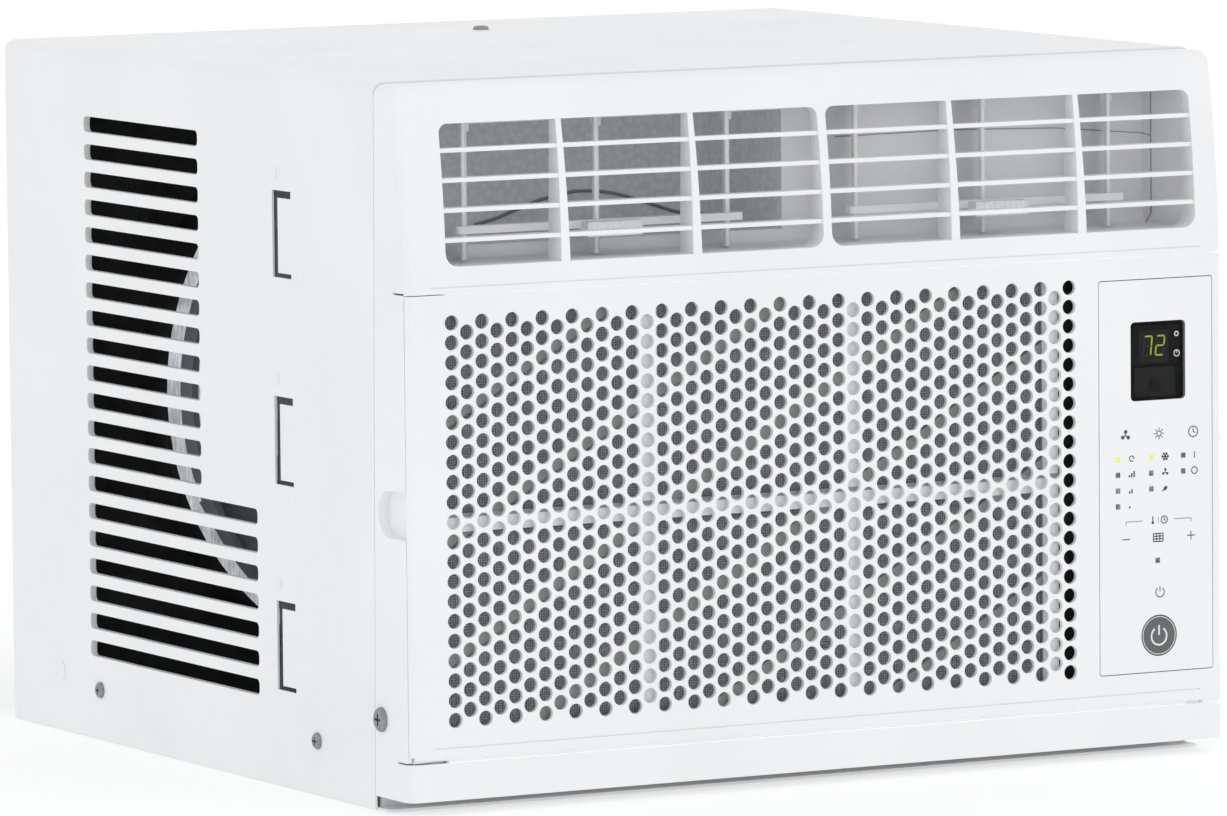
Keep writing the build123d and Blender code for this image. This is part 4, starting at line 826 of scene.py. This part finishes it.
# ---------------------------------------------------------------- display
DIGIT_WIDTH, DIGIT_HEIGHT = 3.9 * MM, 8.3 * MM
SEGMENT_WIDTH = 0.7 * MM
DIGIT_LEAN = 0.1
SEGMENT_ENDS = {
    "top": ((0, 1), (1, 1)), "upper_right": ((1, 1), (1, 0.5)), "lower_right": ((1, 0.5), (1, 0)),
    "bottom": ((1, 0), (0, 0)), "lower_left": ((0, 0), (0, 0.5)), "upper_left": ((0, 0.5), (0, 1)),
    "middle": ((0, 0.5), (1, 0.5)),
}
SEVEN = ("top", "upper_right", "lower_right")
TWO = ("top", "upper_right", "middle", "lower_left", "bottom")


def segment(x, z, ends):
    """One pointed bar of a digit whose lower left corner is at (x, z)."""
    points = []
    for across, up in ends:
        height = up * DIGIT_HEIGHT
        points.append(Vector((x + across * DIGIT_WIDTH + DIGIT_LEAN * height, z + height)))
    start, end = points
    along = (end - start).normalized()
    side = Vector((-along.y, along.x)) * SEGMENT_WIDTH / 2
    gap = along * 0.12 * MM
    tip = along * SEGMENT_WIDTH / 2
    start, end = start + gap, end - gap
    outline = [start, start + tip + side, end - tip + side, end, end - tip - side, start + tip - side]
    return [(point.x, point.y) for point in outline]


def digit(x, z, lit_names):
    """Lit and unlit segments of one digit."""
    lit = [segment(x, z, SEGMENT_ENDS[name]) for name in lit_names]
    unlit = [segment(x, z, ends) for name, ends in SEGMENT_ENDS.items() if name not in lit_names]
    return lit, unlit


def display_digits():
    """A temperature of 72 on a dark display plate."""
    module_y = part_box("display_module")[0].y
    face_y = module_y - PRINT_HEIGHT
    digit_z = 174.6 * MM
    lit_seven, unlit_seven = digit(159.7 * MM, digit_z, SEVEN)
    lit_two, unlit_two = digit(166.0 * MM, digit_z, TWO)
    field = rectangle(157.9 * MM, 171.4 * MM, 172.6 * MM, 185.4 * MM)
    add_piece("display_field", *raised(field, module_y), DISPLAY_FIELD, "display", "root")
    add_piece("lit_segments", *raised(lit_seven + lit_two, face_y), LIT_SEGMENT, "display", "root")
    add_piece("unlit_segments", *raised(unlit_seven + unlit_two, face_y), DARK_SEGMENT, "display", "root")


def receiver_lens():
    """Domed lens of the remote receiver on its dark mask, behind the lower part of the window."""
    low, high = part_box("remote_receiver")
    surround = rectangle(155.8 * MM, 156.6 * MM, 176.4 * MM, 169.4 * MM)
    add_piece("receiver_surround", *raised(surround, low.y), DISPLAY_FIELD, "display", "root")
    x, z = (low.x + high.x) / 2, (low.z + high.z) / 2
    dome_radius, tip_radius, dome_height = 3.0 * MM, 0.05 * MM, 0.9 * MM
    rings = []
    for step in range(7):
        angle = math.radians(15 * step)
        radius = dome_radius * math.cos(angle) + tip_radius
        y = low.y - PRINT_HEIGHT - dome_height * math.sin(angle)
        rings.append([(px, y, pz) for px, pz in disc(x, z, radius)[0]])
    add_piece("receiver_dome", *loft(rings), SLOT_MATERIALS["receiver"], "receiver", "root")


def window_marks():
    """Plain ring and small dial beside the digits, printed on the window."""
    face_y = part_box("display_window")[0].y
    marks = arc(175.6 * MM, 183.6 * MM, 0.9 * MM, 0.42 * MM)
    marks += arc(175.7 * MM, 175.2 * MM, 1.35 * MM, 0.34 * MM)
    marks += stroke(175.7 * MM, 175.2 * MM, 175.7 * MM, 176.3 * MM, 0.3 * MM)
    add_piece("window_marks", *raised(marks, face_y), INK_WHITE, "key_plastic", "root")


# ---------------------------------------------------------------- studio
CAMERA_PLACE = Vector((-2.0915, -3.8669, 0.5768))
CAMERA_AZIMUTH = math.radians(-28.448)
CAMERA_ELEVATION = math.radians(5.609)
CAMERA_ROLL = math.radians(-0.527)
CAMERA_LENS = 294.05


def add_camera():
    """Long lens, left of the front and a little above."""
    back = Vector((math.sin(CAMERA_AZIMUTH) * math.cos(CAMERA_ELEVATION),
                   -math.cos(CAMERA_AZIMUTH) * math.cos(CAMERA_ELEVATION),
                   math.sin(CAMERA_ELEVATION)))
    right = Vector((0, 0, 1)).cross(back).normalized()
    up = back.cross(right)
    rolled_right = math.cos(CAMERA_ROLL) * right + math.sin(CAMERA_ROLL) * up
    rolled_up = math.cos(CAMERA_ROLL) * up - math.sin(CAMERA_ROLL) * right
    turn = Matrix((rolled_right, rolled_up, back)).transposed().to_4x4()
    data = bpy.data.cameras.new("camera")
    data.sensor_width = 36
    data.lens = CAMERA_LENS
    data.clip_start, data.clip_end = 0.05, 200
    camera = bpy.data.objects.new("camera", data)
    camera.matrix_world = Matrix.Translation(CAMERA_PLACE) @ turn
    bpy.context.scene.collection.objects.link(camera)
    bpy.context.scene.camera = camera


def add_floor():
    """Plain white floor, wide enough to fill the view."""
    reach = 40.0
    mesh = bpy.data.meshes.new("floor")
    corners = [(-reach, -reach, 0), (reach, -reach, 0), (reach, reach, 0), (-reach, reach, 0)]
    mesh.from_pydata(corners, [], [(0, 1, 2, 3)])
    material, tree, shader = new_material("floor_paint", (0.6, 0.6, 0.6), 0.9)
    shader.inputs["Specular IOR Level"].default_value = 0.0
    shader.inputs["Emission Color"].default_value = (1, 1, 1, 1)
    shader.inputs["Emission Strength"].default_value = 0.45
    vary_colour(tree, shader, noise(tree, 3, 2), (0.595, 0.595, 0.595), (0.605, 0.605, 0.605))
    mesh.materials.append(material)
    floor = bpy.data.objects.new("floor", mesh)
    bpy.context.scene.collection.objects.link(floor)


def add_lights():
    """Even white surround, and one very wide soft light from the front and above."""
    world = bpy.data.worlds.new("studio")
    world.use_nodes = True
    background = world.node_tree.nodes["Background"]
    background.inputs["Color"].default_value = (0.985, 0.99, 1.0, 1.0)
    background.inputs["Strength"].default_value = 0.93
    bpy.context.scene.world = world
    data = bpy.data.lights.new("soft_front", "SUN")
    data.energy = 0.2
    data.angle = math.radians(70)
    light = bpy.data.objects.new("soft_front", data)
    light.rotation_euler = (math.radians(50), 0, math.radians(12))
    bpy.context.scene.collection.objects.link(light)


# ---------------------------------------------------------------- assembly
def paint_nodes():
    """Every CAD node takes the finish of its record slot."""
    for entry in frame["record"]["subparts"]:
        node = frame["nodes"][entry["node"]]
        for material_slot in node.material_slots:
            material_slot.material = SLOT_MATERIALS[entry["material_slot"]]
    for material_slot in frame["nodes"]["filter_frame"].material_slots:
        material_slot.material = filter_plastic(WHITE)


add_camera()
add_floor()
add_lights()
paint_nodes()
heat_exchanger("evaporator_coil", SLOT_MATERIALS["aluminium_fins"], "galvanised",
               (-170.0 * MM, -158.0 * MM), 38.0 * MM, 24.0 * MM, 8)
# Painted shade: the condenser's end plates are black so that what shows through the side slots reads dark.
heat_exchanger("condenser_coil", fins_with_painted_glow(), "black_paint",
               (158.0 * MM, 176.0 * MM), 30.0 * MM, 22.0 * MM, 12)
dark_edge_strip()
liner_joint()
painted_crease_shade()
scroll_rib()
filter_net()
panel_print()
button_mark()
light_lamps()
display_digits()
receiver_lens()
window_marks()
bpy.context.scene.view_settings.view_transform = "Standard"
